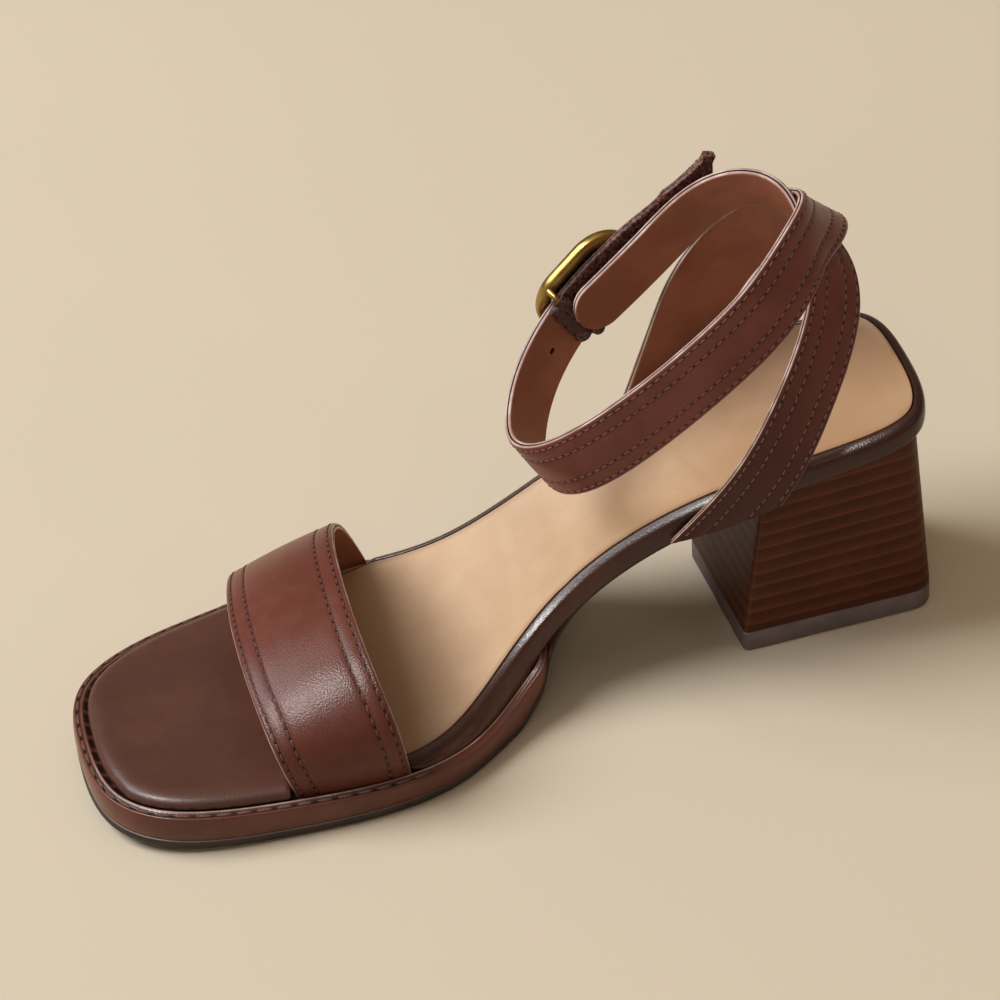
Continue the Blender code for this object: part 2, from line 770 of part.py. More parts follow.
def build_join():
    spot, out, run, width = strap_frame(path_spline(HOLED_STRAP), JOIN_AT)
    wide = np.cross(run, out)
    corners = ((1, 1), (-1, 1), (-1, -1), (1, -1))
    loops = []
    for depth in (-JOIN_DEPTH, 0.0):
        loops.append([tuple(spot + JOIN_HALF * (run * a + wide * b) + out * depth) for a, b in corners])
    return stack("cutter_strap_join", loops, LEATHER)


def buckle_frame_axes():
    spot, out, run, width = strap_frame(path_spline(HOLED_STRAP), BUCKLE_AT)
    return spot + out * BUCKLE_LIFT, run, np.cross(run, out), out


def in_buckle(along, side, out):
    """Point of the buckle; along runs from its front end to the strap's tip."""
    origin, run, wide, normal = buckle_frame_axes()
    return origin + run * along + wide * side + normal * out


def build_hole():
    loops = []
    for out in HOLE_DEPTH:
        loop = []
        for k in range(HOLE_TURNS):
            angle = 2.0 * math.pi * k / HOLE_TURNS
            along = BAR_AT + HOLE_LONG * math.cos(angle)
            loop.append(tuple(in_buckle(along, HOLE_WIDE * math.sin(angle), out)))
        loops.append(loop)
    return stack("cutter_prong_hole", loops, LEATHER)


def tube(name, path, sides, radii, recipe, closed=False, turns=8):
    """Round bar swept along path points, each with its own side direction and half sizes."""
    loops = []
    for spot, side, out, (wide, thick) in zip(path, sides[0], sides[1], radii):
        loop = []
        for k in range(turns):
            angle = 2.0 * math.pi * (k + 0.5) / turns
            loop.append(tuple(spot + side * wide * math.cos(angle) + out * thick * math.sin(angle)))
        loops.append(loop)
    if not closed:
        return stack(name, loops, recipe, 50.0)
    points = [p for loop in loops for p in loop]
    faces = []
    for level in range(len(loops)):
        for k in range(turns):
            nxt = (k + 1) % turns
            low = level * turns
            high = ((level + 1) % len(loops)) * turns
            faces.append((low + k, low + nxt, high + nxt, high + k))
    return solid(name, points, faces, recipe, 50.0)


def rail_path():
    """Rounded rectangle of the frame's middle line with the outward side at each point."""
    spots = []
    sides = []
    long = BUCKLE_LONG / 2.0 - BUCKLE_CORNER
    broad = BUCKLE_WIDE / 2.0 - BUCKLE_CORNER
    for a_sign, s_sign, first in ((1, 1, 0.0), (-1, 1, 90.0), (-1, -1, 180.0), (1, -1, 270.0)):
        for turn in range(RAIL_TURNS + 1):
            angle = math.radians(first + 90.0 * turn / RAIL_TURNS)
            side = (math.cos(angle), math.sin(angle))
            spots.append((a_sign * long + BUCKLE_CORNER * side[0], s_sign * broad + BUCKLE_CORNER * side[1]))
            sides.append(side)
    return spots, sides


def build_buckle():
    origin, run, wide, out = buckle_frame_axes()
    spots, sides = rail_path()
    path = [in_buckle(a, s, 0.0) for a, s in spots]
    side = [run * a + wide * s for a, s in sides]
    rail = tube("buckle_frame", path, (side, [out] * len(path)), [(RAIL_WIDE, RAIL_THICK)] * len(path),
                GILT, closed=True, turns=10)
    reach = BUCKLE_WIDE / 2.0
    line = [(reach, 0.0), (reach, BAR_BEND - BAR_DROP)]
    line += [(reach - BAR_CORNER, BAR_CORNER - BAR_DROP), (reach - BAR_BEND, -BAR_DROP)]
    line += [(-s, o) for s, o in reversed(line)]
    path = [in_buckle(BAR_AT, s, o) for s, o in line]
    normals = []
    for k in range(len(path)):
        step = path[min(k + 1, len(path) - 1)] - path[max(k - 1, 0)]
        cross = np.cross(run, step)
        normals.append(cross / np.linalg.norm(cross))
    sizes = [(BAR_RADIUS, BAR_RADIUS)] * len(path)
    bar = tube("cutter_buckle_bar", path, ([run] * len(path), normals), sizes, GILT)
    boolean(rail, cutter(bar), "UNION")
    return [rail, bar]


def build_prong():
    origin, run, wide, out = buckle_frame_axes()
    rows = np.array([(a, o, r) for a, o, r in PRONG])
    fine = spline(np.arange(len(rows)), rows)(np.linspace(0.0, len(rows) - 1.0, 15))
    path = [in_buckle(a, 0.0, o) for a, o, r in fine]
    normals = []
    for k in range(len(path)):
        step = path[min(k + 1, len(path) - 1)] - path[max(k - 1, 0)]
        cross = np.cross(step, wide)
        normals.append(cross / np.linalg.norm(cross))
    radii = [(r, r) for a, o, r in fine]
    return tube("buckle_prong", path, ([wide] * len(path), normals), radii, GILT)


def centre_under(things):
    """Move every mesh so the origin lies on the floor under the middle of the shoe."""
    shown = [t for t in things if not t.hide_render]
    spots = np.array([tuple(v.co) for t in shown for v in t.data.vertices])
    middle = (spots.min(axis=0) + spots.max(axis=0)) / 2.0
    shift = Matrix.Translation(Vector((-middle[0], -middle[1], 0.0)))
    for thing in things:
        thing.data.transform(shift)


clear_scene()
footbed = build_footbed()
pieces = [footbed, notch_footbed(footbed), build_sock(), build_platform(), build_outsole()]
pieces += [*build_heel(), build_lift(), build_vamp(), *build_straps(), *build_buckle(), build_prong()]
centre_under(pieces)
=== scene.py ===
"""Looks of the heeled sandal, right shoe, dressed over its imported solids."""
import functools
import math

import bmesh
import bpy
import numpy as np
from mathutils import Matrix, Vector


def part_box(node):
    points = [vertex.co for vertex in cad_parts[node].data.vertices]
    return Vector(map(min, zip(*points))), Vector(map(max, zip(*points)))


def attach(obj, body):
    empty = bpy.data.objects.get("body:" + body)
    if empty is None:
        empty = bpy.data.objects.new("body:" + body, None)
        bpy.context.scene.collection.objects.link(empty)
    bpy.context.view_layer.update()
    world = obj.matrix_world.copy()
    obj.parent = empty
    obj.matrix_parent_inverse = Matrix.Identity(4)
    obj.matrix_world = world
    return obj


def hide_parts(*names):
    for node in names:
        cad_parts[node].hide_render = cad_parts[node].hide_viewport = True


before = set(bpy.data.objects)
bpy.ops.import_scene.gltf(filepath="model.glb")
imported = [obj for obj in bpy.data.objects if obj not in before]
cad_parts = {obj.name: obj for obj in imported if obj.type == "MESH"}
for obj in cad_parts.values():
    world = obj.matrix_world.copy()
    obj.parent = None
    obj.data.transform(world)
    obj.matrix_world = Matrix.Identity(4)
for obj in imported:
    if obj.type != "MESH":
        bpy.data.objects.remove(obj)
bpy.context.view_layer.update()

# Footbed: a moulded board covered in dark brown leather, rolled over its edge and lasted under.
# Its rim stands round the sock, and in front of the vamp strap it shows as the smooth toe pad.
MM = 0.001
WELD = 0.002 * MM
LIFT_CORNER = (56.2, 20.6)
lift_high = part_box("top_lift")[1]
# The tables are in millimetres: along from the heel back, across to the inner side, and up
SHIFT = np.array([lift_high.x / MM - LIFT_CORNER[0], lift_high.y / MM - LIFT_CORNER[1], 0.0])
OUTLINE = np.array([
    # along, across: from the heel back over the inner side to the toe and back on the outer side
    (0.0, 0.0), (6.0, 25.5), (32.0, 28.0), (74.0, 20.5), (113.5, 19.7), (144.0, 38.8), (169.0, 45.6),
    (197.0, 44.8), (225.5, 40.2), (238.0, 28.7), (239.0, 4.4), (233.4, -14.1), (213.6, -27.8),
    (185.3, -36.2), (156.5, -42.4), (125.0, -35.4), (90.0, -28.9), (54.0, -29.7), (25.7, -31.5),
    (4.4, -22.9),
])
PROFILE = np.array([
    # along, rim height, hollow between the rims, sole thickness
    (0.0, 77.5, 1.6, 2.6), (35.0, 68.5, 2.0, 2.6), (70.0, 56.7, 1.6, 2.6), (100.0, 39.4, 1.2, 2.7),
    (130.0, 19.6, 0.7, 2.8), (160.0, 12.7, 0.2, 3.0), (200.0, 15.2, -1.0, 3.0), (240.0, 18.2, -1.0, 3.0),
])
BOARD = np.array([
    # along, thickness of the footbed at its edge
    (0.0, 7.4), (35.0, 7.4), (70.0, 7.8), (100.0, 8.9), (118.0, 10.0), (132.0, 8.6), (146.0, 4.9),
    (160.0, 2.8), (200.0, 3.9), (240.0, 3.9),
])
RIM_ROLL = np.array([
    # rim: inset, height share, drop, share of the sock bed, skirt outset; toe pad: inset, height
    (0.9, 0.0, 0.0, 0.0, 2.1, 0.9, 0.0),
    (0.15, 0.08, 0.0, 0.0, 1.55, 0.15, 0.2),
    (0.0, 0.35, 0.0, 0.0, 0.9, 0.0, 0.6),
    (0.25, 1.0, 2.5, 0.0, 0.0, 0.15, 1.3),
    (1.0, 1.0, 1.1, 0.0, 0.0, 0.6, 2.1),
    (2.0, 1.0, 0.35, 0.0, 0.0, 1.4, 2.85),
    (2.9, 1.0, 0.02, 0.0, 0.0, 2.8, 3.45),
    (3.35, 1.0, 0.1, 0.35, 0.0, 5.0, 3.8),
    (3.5, 1.0, 0.0, 1.0, 0.0, 8.5, 3.9),
])
PAD_HEIGHT = RIM_ROLL[-1, -1]
PAD = (160.0, 184.0)
PAD_FRONT = (200.0, 231.0)
PAD_SWELL = 0.95
PAD_SWELL_TURN = (0.25, 0.65)
PAD_SWELL_SLOT = 0.3
SKIRT_REAR = (110.0, 124.0)
SKIRT_FRONT = (156.0, 164.0)
VAMP = np.array([
    # front edge along, across, up, rear edge along, across, up; from the inner side over the foot
    (193.3, 45.2, 10.9, 161.6, 46.6, 10.6),
    (197.3, 44.8, 23.3, 164.8, 48.4, 28.2),
    (199.7, 30.6, 34.9, 168.0, 33.1, 44.5),
    (198.0, 4.4, 38.4, 166.3, 3.8, 48.1),
    (192.8, -20.4, 32.7, 160.9, -23.5, 41.6),
    (187.1, -36.2, 22.3, 153.1, -40.6, 26.5),
    (183.6, -39.4, 10.8, 146.9, -42.9, 10.6),
])
VAMP_THICK = 2.2
SLOT_FADE = (0.6, 2.0)
SLOT_CLEAR = 0.3
SLOT_DEEPEST = 4.0
SOCK_BED = 1.5
BED_FADE = (166.0, 180.0)
SEAT_GAP = 0.3
DENSE = 1600
SIDE_STATIONS = 300
RIM_STEPS = 32
UNDER_SHARES = (1.0, 0.5)
OVER_ROWS = 14
# Mark that tells the wall, the roll and the bed of the rim apart in the finish
WALL_ROWS = 3.6
WALL_MARK, ROLL_MARK, BED_MARK = 1.0, 1.5, 3.5
WELT_PITCH = 5.5
WELT_STITCH_OUT = 2.9


def spline(knots, values):
    """Natural cubic spline through the values at the knots."""
    knots = np.asarray(knots, float)
    values = np.asarray(values, float)
    steps = np.diff(knots)
    slopes = np.diff(values, axis=0) / steps.reshape((-1,) + (1,) * (values.ndim - 1))
    matrix = np.eye(len(knots))
    right = np.zeros(values.shape)
    for row in range(1, len(knots) - 1):
        matrix[row, row - 1:row + 2] = steps[row - 1], 2.0 * (steps[row - 1] + steps[row]), steps[row]
        right[row] = 6.0 * (slopes[row] - slopes[row - 1])
    bends = np.linalg.solve(matrix, right.reshape(len(knots), -1)).reshape(values.shape)

    def value(at):
        at = np.asarray(at, float)
        span = np.clip(np.searchsorted(knots, at) - 1, 0, len(knots) - 2)
        step = steps[span].reshape(at.shape + (1,) * (values.ndim - 1))
        before = (knots[span + 1] - at).reshape(step.shape) / step
        after = 1.0 - before
        curve = (before ** 3 - before) * bends[span] + (after ** 3 - after) * bends[span + 1]
        return before * values[span] + after * values[span + 1] + curve * step * step / 6.0

    return value


def row_spline(rows):
    """Spline through whole rows, counted 0, 1, 2 and so on."""
    return spline(np.arange(len(rows)), np.array(rows))


def between_rows(rows, steps):
    """Evenly counted places from the first row to the last."""
    return np.linspace(0.0, len(rows) - 1.0, steps + 1)


def smooth(value, low, high):
    part = np.clip((np.asarray(value, float) - low) / (high - low), 0.0, 1.0)
    return part * part * (3.0 - 2.0 * part)


def unit(vectors):
    return vectors / np.linalg.norm(vectors, axis=-1, keepdims=True)


def summed(steps):
    return np.concatenate([[0.0], np.cumsum(steps)])


def gaps(points):
    return np.linalg.norm(np.diff(points, axis=0), axis=1)


def follow(at, arc, rows):
    """Every column of the rows read at places along their arc."""
    return np.column_stack([np.interp(at, arc, rows[:, k]) for k in range(rows.shape[1])])


def spread(values, columns):
    """The same value all along each row."""
    return np.repeat(np.asarray(values)[:, None], columns, axis=1)


def footbed_edge():
    """Dense points round the footbed and the outward normal at each."""
    wrap = 4
    ring = np.vstack([OUTLINE[-wrap:], OUTLINE, OUTLINE[:wrap + 1]])
    knots = summed(np.sqrt(gaps(ring)))
    points = spline(knots, ring)(np.linspace(knots[wrap], knots[-wrap - 1], DENSE, endpoint=False))
    run = np.roll(points, -1, axis=0) - np.roll(points, 1, axis=0)
    return points, unit(np.column_stack([-run[:, 1], run[:, 0]]))


edge_points, edge_normals = footbed_edge()
heel_tip = int(edge_points[:, 0].argmin())
toe_tip = (int(edge_points[:, 0].argmax()) - heel_tip) % DENSE
edge_order = np.roll(np.arange(DENSE), -heel_tip)
inner_side = edge_order[:toe_tip + 1]
outer_side = np.concatenate([edge_order[toe_tip:], edge_order[:1]])[::-1]
rim_height, hollow, sole_thick = (spline(PROFILE[:, 0], PROFILE[:, k]) for k in range(1, 4))
board = spline(BOARD[:, 0], BOARD[:, 1])


def side_ring(rear=None):
    """Stations round the footbed edge: inner side from heel to toe, then the outer side back."""
    halves = []
    for side in (inner_side, outer_side):
        rows = np.hstack([edge_points[side], edge_normals[side]])
        if rear is not None:
            rows = np.vstack([follow([rear], rows[:, 0], rows), rows[rows[:, 0] > rear]])
        arc = summed(gaps(rows[:, :2]))
        halves.append(follow(np.linspace(0.0, arc[-1], SIDE_STATIONS + 1), arc, rows))
    ring = np.vstack([halves[0], halves[1][-2::-1]])
    return ring[:, :2], ring[:, 2:]


def ring_arc(ring):
    """Length along a ring, counted from the toe tip."""
    arc = summed(gaps(ring))
    return arc - arc[SIDE_STATIONS]


def inward_rows(ring, shares, height):
    """Rows that lead from a ring to the middle line between its two sides."""
    middle = (ring[:, :2] + ring[::-1, :2]) / 2.0
    rows = []
    for share in shares:
        spot = ring[:, :2] + (middle - ring[:, :2]) * share
        rows.append(np.column_stack([spot, height(spot[:, 0], 1.0 - share)]))
    return rows


def footbed_under(along, share=0.0):
    return rim_height(along) - board(along)


def sock_bed(along):
    return SOCK_BED * (1.0 - np.clip((along - BED_FADE[0]) / (BED_FADE[1] - BED_FADE[0]), 0.0, 1.0))


def footbed_top(along, share):
    drop = (board(along) - PAD_HEIGHT) * smooth(along, *PAD)
    crown = hollow(along) * (1.0 - smooth(along, *PAD_FRONT)) * (1.0 - share ** 2)
    return rim_height(along) - sock_bed(along) - drop - crown


def vamp_slot(points):
    """How far the footbed's edge steps in where the vamp strap runs down beside it."""
    step = np.zeros(len(points))
    near, far = SLOT_FADE
    for row, sign in ((VAMP[0], 1.0), (VAMP[-1], -1.0)):
        front, rear = row[:3], row[3:]
        part = (points[:, 0] - front[0]) / (rear[0] - front[0])
        inside = sign * (front[1] + (rear[1] - front[1]) * part) - VAMP_THICK
        window = smooth(points[:, 0], rear[0] - far, rear[0] - near)
        window *= 1.0 - smooth(points[:, 0], front[0] + near, front[0] + far)
        need = np.clip(sign * points[:, 1] - inside + SLOT_CLEAR, 0.0, SLOT_DEEPEST)
        step = np.where(sign * points[:, 1] > 0.0, np.maximum(step, need * window), step)
    return step


def close_holes(work):
    bmesh.ops.holes_fill(work, edges=[edge for edge in work.edges if edge.is_boundary], sides=0)


def skin(points, **marks):
    """Quads laid through rows of millimetre points; edges that meet are welded, open ends closed."""
    rows, columns = points.shape[:2]
    work = bmesh.new()
    bmesh.ops.create_grid(work, x_segments=columns - 1, y_segments=rows - 1, size=0.5)
    layers = {name: work.verts.layers.float.new(name) for name in marks}
    for vert in work.verts:
        column = round((vert.co.x + 0.5) * (columns - 1))
        row = round((vert.co.y + 0.5) * (rows - 1))
        vert.co = Vector((points[row, column] + SHIFT) * MM)
        for name, layer in layers.items():
            vert[layer] = marks[name][row, column]
    bmesh.ops.remove_doubles(work, verts=work.verts, dist=WELD)
    bmesh.ops.dissolve_degenerate(work, edges=work.edges, dist=WELD)
    close_holes(work)
    bmesh.ops.recalc_face_normals(work, faces=work.faces)
    return work


def finish_piece(name, work, finish, slot, *nodes, crease=55.0):
    """Object of a mesh with its finish; it rides on the shoe and stands for the named solids."""
    if work.calc_volume(signed=True) < 0.0:
        bmesh.ops.reverse_faces(work, faces=work.faces)
    mesh = bpy.data.meshes.new(name)
    work.to_mesh(mesh)
    work.free()
    mesh.shade_smooth()
    mesh.set_sharp_from_angle(angle=math.radians(crease))
    mesh.materials.append(finish)
    made = bpy.data.objects.new(name, mesh)
    bpy.context.scene.collection.objects.link(made)
    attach(made, "root")
    if nodes:
        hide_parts(*nodes)
    return made


class Mixer:
    """Lays shader nodes into one tree, with short names for the steps that the finishes share."""

    def __init__(self, tree):
        self.tree = tree

    def node(self, kind, sockets=None, **settings):
        made = self.tree.nodes.new("ShaderNode" + kind)
        for name, value in settings.items():
            setattr(made, name, value)
        for name, value in (sockets or {}).items():
            if isinstance(value, bpy.types.NodeSocket):
                self.tree.links.new(value, made.inputs[name])
            else:
                made.inputs[name].default_value = value
        return made

    @functools.cached_property
    def place(self):
        return self.node("TexCoord").outputs["Object"]

    @functools.cached_property
    def axes(self):
        return self.node("SeparateXYZ", {"Vector": self.place}).outputs

    def mark(self, name):
        return self.node("Attribute", attribute_name=name).outputs["Fac"]

    def calc(self, operation, *terms):
        return self.node("Math", dict(enumerate(terms)), operation=operation).outputs[0]

    def times(self, first, *others):
        return functools.reduce(functools.partial(self.calc, "MULTIPLY"), others, first)

    def gain(self, value, factor, start):
        """A value times a factor, added to a start."""
        return self.calc("MULTIPLY_ADD", value, factor, start)

    def minus(self, one, two):
        return self.calc("SUBTRACT", one, two)

    def away(self, one, two):
        """Distance between two values."""
        return self.calc("ABSOLUTE", self.minus(one, two))

    def phase(self, run, pitch):
        """Share of the pitch that has passed at a run."""
        return self.calc("FRACT", self.calc("DIVIDE", run, pitch))

    def ramp(self, value, low, high, start=0.0, end=1.0):
        """Smooth step of a value from start to end between low and high."""
        sockets = {"Value": value, "From Min": low, "From Max": high, "To Min": start, "To Max": end}
        return self.node("MapRange", sockets, interpolation_type="SMOOTHSTEP").outputs[0]

    def tint(self, share, one, two):
        """Colour between one and two at a share."""
        first, second = ((*part, 1.0) if isinstance(part, tuple) else part for part in (one, two))
        return self.node("Mix", {0: share, 6: first, 7: second}, data_type="RGBA").outputs[2]

    def noise(self, scale, detail=3.0, roughness=0.55, place=None):
        sockets = {"Vector": self.place if place is None else place, "Scale": scale, "Detail": detail,
                   "Roughness": roughness}
        return self.node("TexNoise", sockets).outputs["Fac"]

    def cells(self, scale, feature="F1"):
        sockets = {"Vector": self.place, "Scale": scale}
        return self.node("TexVoronoi", sockets, feature=feature).outputs["Distance"]


class Effect(Mixer):
    """Node group with named float inputs and outputs, built once and placed in several finishes."""

    def __init__(self, name, outputs, **inputs):
        super().__init__(bpy.data.node_groups.new(name, "ShaderNodeTree"))
        sockets = self.tree.interface
        for label, value in inputs.items():
            made = sockets.new_socket(label, in_out="INPUT", socket_type="NodeSocketFloat")
            made.default_value = value
        for label in outputs:
            sockets.new_socket(label, in_out="OUTPUT", socket_type="NodeSocketFloat")
        self.given = self.tree.nodes.new("NodeGroupInput").outputs
        self.out = self.tree.nodes.new("NodeGroupOutput")

    def give(self, **values):
        for label, value in values.items():
            self.tree.links.new(value, self.out.inputs[label])
        return self.tree


class Finish(Mixer):
    """Material with its shader; values that are the same all over are set on the shader itself."""

    def __init__(self, name, **shader_values):
        self.material = bpy.data.materials.new(name)
        self.material.use_nodes = True
        super().__init__(self.material.node_tree)
        self.shader = self.tree.nodes["Principled BSDF"]
        for label, value in shader_values.items():
            self.shader.inputs[label.replace("_", " ")].default_value = value

    def effect(self, group, **values):
        return self.node("Group", values, node_tree=group).outputs

    def shade(self, colour, roughness, height=None, strength=0.3, depth=0.0004):
        """Feed colour, roughness and bump to the shader and hand the material over."""
        self.tree.links.new(colour, self.shader.inputs["Base Color"])
        self.tree.links.new(roughness, self.shader.inputs["Roughness"])
        if height is not None:
            bump = self.node("Bump", {"Strength": strength, "Distance": depth, "Height": height})
            self.tree.links.new(bump.outputs["Normal"], self.shader.inputs["Normal"])
        return self.material


def leather_grain_effect():
    """Fine pebble of finished leather, slow changes of tone and patches rubbed to a gloss."""
    mix = Effect("leather_grain", ("Height", "Tone", "Rub"))
    height = mix.gain(mix.noise(3600.0, 3.0, 0.6), 0.5, mix.times(mix.cells(2100.0), 0.55))
    tone = mix.ramp(mix.noise(48.0, 4.0, 0.6), 0.32, 0.68)
    return mix.give(Height=height, Tone=tone, Rub=mix.ramp(mix.noise(130.0, 4.0), 0.42, 0.72))


leather_grain = leather_grain_effect()


def footbed_finish():
    mix = Finish("footbed_leather", Specular_IOR_Level=0.34)
    grain = mix.effect(leather_grain)
    toe, inset = mix.mark("toe"), mix.mark("inset")
    pad = mix.tint(grain["Tone"], (0.084, 0.029, 0.0185), (0.106, 0.038, 0.026))
    roll = mix.tint(grain["Tone"], (0.038, 0.0115, 0.007), (0.055, 0.017, 0.0105))
    # Painted light: forward of the heel the outer wall gets a lighter copy of the rim colour, where it faces
    # away from the lamps.
    wall = mix.tint(grain["Tone"], (0.066, 0.0195, 0.012), (0.094, 0.028, 0.018))
    arch = mix.times(mix.ramp(inset, ROLL_MARK, WALL_MARK), mix.ramp(mix.axes["X"], -0.050, -0.020))
    colour = mix.tint(toe, mix.tint(arch, roll, wall), pad)
    colour = mix.tint(mix.ramp(inset, 2.7, 3.4, 0.0, 0.85), colour, (0.012, 0.006, 0.005))
    needle = mix.ramp(mix.away(mix.phase(mix.mark("run"), WELT_PITCH), 0.5), 0.24, 0.40)
    pull = mix.times(needle, toe, mix.ramp(mix.mark("rise"), 1.4, 0.5))
    colour = mix.tint(mix.times(pull, 0.6), colour, (0.014, 0.006, 0.004))
    rough = mix.gain(grain["Rub"], 0.04, mix.ramp(toe, 0.0, 1.0, 0.27, 0.37))
    return mix.shade(colour, rough, mix.minus(grain["Height"], pull), 0.16)


ring_spots, ring_normals = side_ring()
notch = vamp_slot(ring_spots)
into_pad = smooth(ring_spots[:, 0], *PAD)
skirt = smooth(ring_spots[:, 0], *SKIRT_REAR) * (1.0 - smooth(ring_spots[:, 0], *SKIRT_FRONT))
swell = PAD_SWELL * smooth(ring_normals[:, 1], *PAD_SWELL_TURN) * (1.0 - smooth(notch, 0.0, PAD_SWELL_SLOT))
rim_rows = []
for inset, share, drop, bed, out, pad_inset, pad_height in RIM_ROLL:
    inset = inset + (pad_inset - inset) * into_pad + notch - out * skirt - swell * into_pad
    plan = ring_spots - ring_normals * inset[:, None]
    low = footbed_under(plan[:, 0])
    high = rim_height(plan[:, 0]) - drop - bed * sock_bed(plan[:, 0])
    rim = low + (high - low) * share
    rim_rows.append(np.column_stack([plan, rim + (low + pad_height - rim) * smooth(plan[:, 0], *PAD)]))
rim_at = between_rows(RIM_ROLL, RIM_STEPS)
rim_rows = row_spline(rim_rows)(rim_at)
over_shares = np.linspace(0.0, 1.0, OVER_ROWS + 1)[1:]
footbed_points = np.array([
    *inward_rows(rim_rows[0], UNDER_SHARES, footbed_under),
    *rim_rows,
    *inward_rows(rim_rows[-1], over_shares, footbed_top),
])
roll_read = follow(rim_at, np.arange(len(RIM_ROLL)), RIM_ROLL)
inset_marks = np.where(rim_at < WALL_ROWS, WALL_MARK, np.maximum(roll_read[:, 0], ROLL_MARK))
inset_marks = np.concatenate([
    np.full(len(UNDER_SHARES), WALL_MARK), inset_marks, np.full(OVER_ROWS, BED_MARK),
])
rise_marks = np.concatenate([np.zeros(len(UNDER_SHARES)), roll_read[:, -1], np.full(OVER_ROWS, PAD_HEIGHT)])
toe_marks = smooth(footbed_points[:, :, 0], *PAD)
ring_run = ring_arc(ring_spots + ring_normals * WELT_STITCH_OUT)
footbed_mesh = skin(
    footbed_points,
    inset=inset_marks[:, None] * (1.0 - toe_marks),
    toe=toe_marks,
    run=np.tile(ring_run, (len(footbed_points), 1)),
    rise=spread(rise_marks, len(ring_run)),
)
finish_piece("footbed_cover", footbed_mesh, footbed_finish(), "leather_brown", "footbed")

# Sock: the smooth tan leather sheet glued into the bed between the rims, cut off under the vamp strap.
# It is painted darker at the ball, for the vamp strap's shadow, and at the heel, for the ankle straps' shade;
# it creases softly across the arch.
SOCK_THICK = 1.0
SOCK_INSET = 3.65
SOCK_PAD_INSET = 9.0
SOCK_GAP = 0.45
SOCK_FRONT = (184.5, 178.0)
SOCK_BOW = 8.5
SOCK_BOW_START = 0.72
SOCK_ROWS = 230
SOCK_COLUMNS = 44
SOCK_SIDE_EDGE = 0.45
SOCK_FRONT_EDGE = 0.25
SOCK_RIM_RUN = 60.0
SOCK_CREASES = [
    # along at the middle, across at its middle, half length, slant, depth, half width
    (88.0, 2.0, 15.0, 0.10, 0.16, 1.5),
    (97.0, -6.0, 17.0, -0.06, 0.22, 1.7),
    (105.5, 3.0, 19.0, 0.05, 0.20, 1.6),
    (113.0, -8.0, 16.0, 0.12, 0.18, 1.5),
    (121.0, 4.0, 20.0, -0.04, 0.15, 1.8),
    (64.0, 6.0, 13.0, -0.15, 0.12, 1.6),
]
CREASE_LIP = 0.55
CREASE_LIP_OFF = 1.9


def sock_side(side):
    inset = SOCK_INSET + (SOCK_PAD_INSET - SOCK_INSET) * smooth(edge_points[side, 0], *PAD)
    moved = edge_points[side] - edge_normals[side] * inset[:, None]
    return np.maximum.accumulate(moved[:, 0]), moved[:, 1]


def sock_points():
    """Closed loops round the sheet, top and underside, and the distance of each point from its edge."""
    inner, outer = sock_side(inner_side), sock_side(outer_side)
    share = 1.0 - np.cos(np.linspace(0.0, 1.0, SOCK_ROWS + 1) * np.pi / 2.0)
    bow = SOCK_BOW * np.clip((share - SOCK_BOW_START) / (1.0 - SOCK_BOW_START), 0.0, None) ** 2
    part = (1.0 - np.cos(np.linspace(0.0, 1.0, SOCK_COLUMNS + 1) * np.pi)) / 2.0
    start = inner[0][0]
    ends = [start + (front - start) * share[:, None] for front in SOCK_FRONT]
    along = ends[0] + (ends[1] - ends[0]) * part
    left, right = np.interp(along, *inner), np.interp(along, *outer)
    side = left * (1.0 - part) + right * part
    along = along + bow[:, None] * 4.0 * part * (1.0 - part)
    height = footbed_top(along, np.abs(1.0 - 2.0 * part)) + SOCK_GAP
    crease = np.zeros(along.shape)
    for at, middle, reach, slant, depth, half in SOCK_CREASES:
        off = (along - at - slant * (side - middle)) / half
        fade = np.exp(-((side - middle) / reach) ** 4)
        crease += depth * fade * (np.exp(-off ** 2) - CREASE_LIP * np.exp(-(off - CREASE_LIP_OFF) ** 2))
    over = np.stack([along, side, height + SOCK_THICK - crease], axis=-1)
    under = np.stack([along, side, height], axis=-1)
    over[:, (0, -1), 2] -= SOCK_SIDE_EDGE
    over[-1, :, 2] -= SOCK_FRONT_EDGE
    rim = np.minimum(part, 1.0 - part) * (left - right)
    rim = np.minimum(rim, np.linspace(SOCK_RIM_RUN, 0.0, SOCK_ROWS + 1)[:, None])
    loop = np.concatenate([over, under[:, ::-1], over[:, :1]], axis=1)
    return loop, np.concatenate([rim, np.zeros_like(rim), rim[:, :1]], axis=1)


def sock_finish():
    mix = Finish("sock_leather", Specular_IOR_Level=0.75)
    grain = mix.effect(leather_grain)
    along = mix.axes["X"]
    colour = mix.tint(mix.ramp(mix.noise(16.0), 0.3, 0.7), (0.54, 0.332, 0.182), (0.64, 0.410, 0.240))
    colour = mix.tint(mix.times(grain["Tone"], 0.35), colour, (0.48, 0.280, 0.146))
    colour = mix.tint(mix.ramp(mix.noise(900.0, 2.0), 0.60, 0.74, 0.0, 0.22), colour, (0.41, 0.225, 0.112))
    colour = mix.tint(mix.ramp(mix.mark("rim"), 2.2, 0.3, 0.0, 0.55), colour, (0.34, 0.175, 0.08))
    # Painted shadow of the vamp strap darkens the ball end; painted shade of the ankle straps darkens the
    # heel end.
    colour = mix.tint(mix.ramp(along, 0.004, 0.046, 0.0, 0.86), colour, (0.235, 0.122, 0.058))
    colour = mix.tint(mix.ramp(along, -0.025, -0.085, 0.0, 0.58), colour, (0.385, 0.205, 0.096))
    return mix.shade(colour, mix.gain(grain["Rub"], 0.08, 0.40), grain["Height"], 0.14)


sock_loop, sock_rim = sock_points()
finish_piece("sock_sheet", skin(sock_loop, rim=sock_rim), sock_finish(), "sock_tan", "sock")

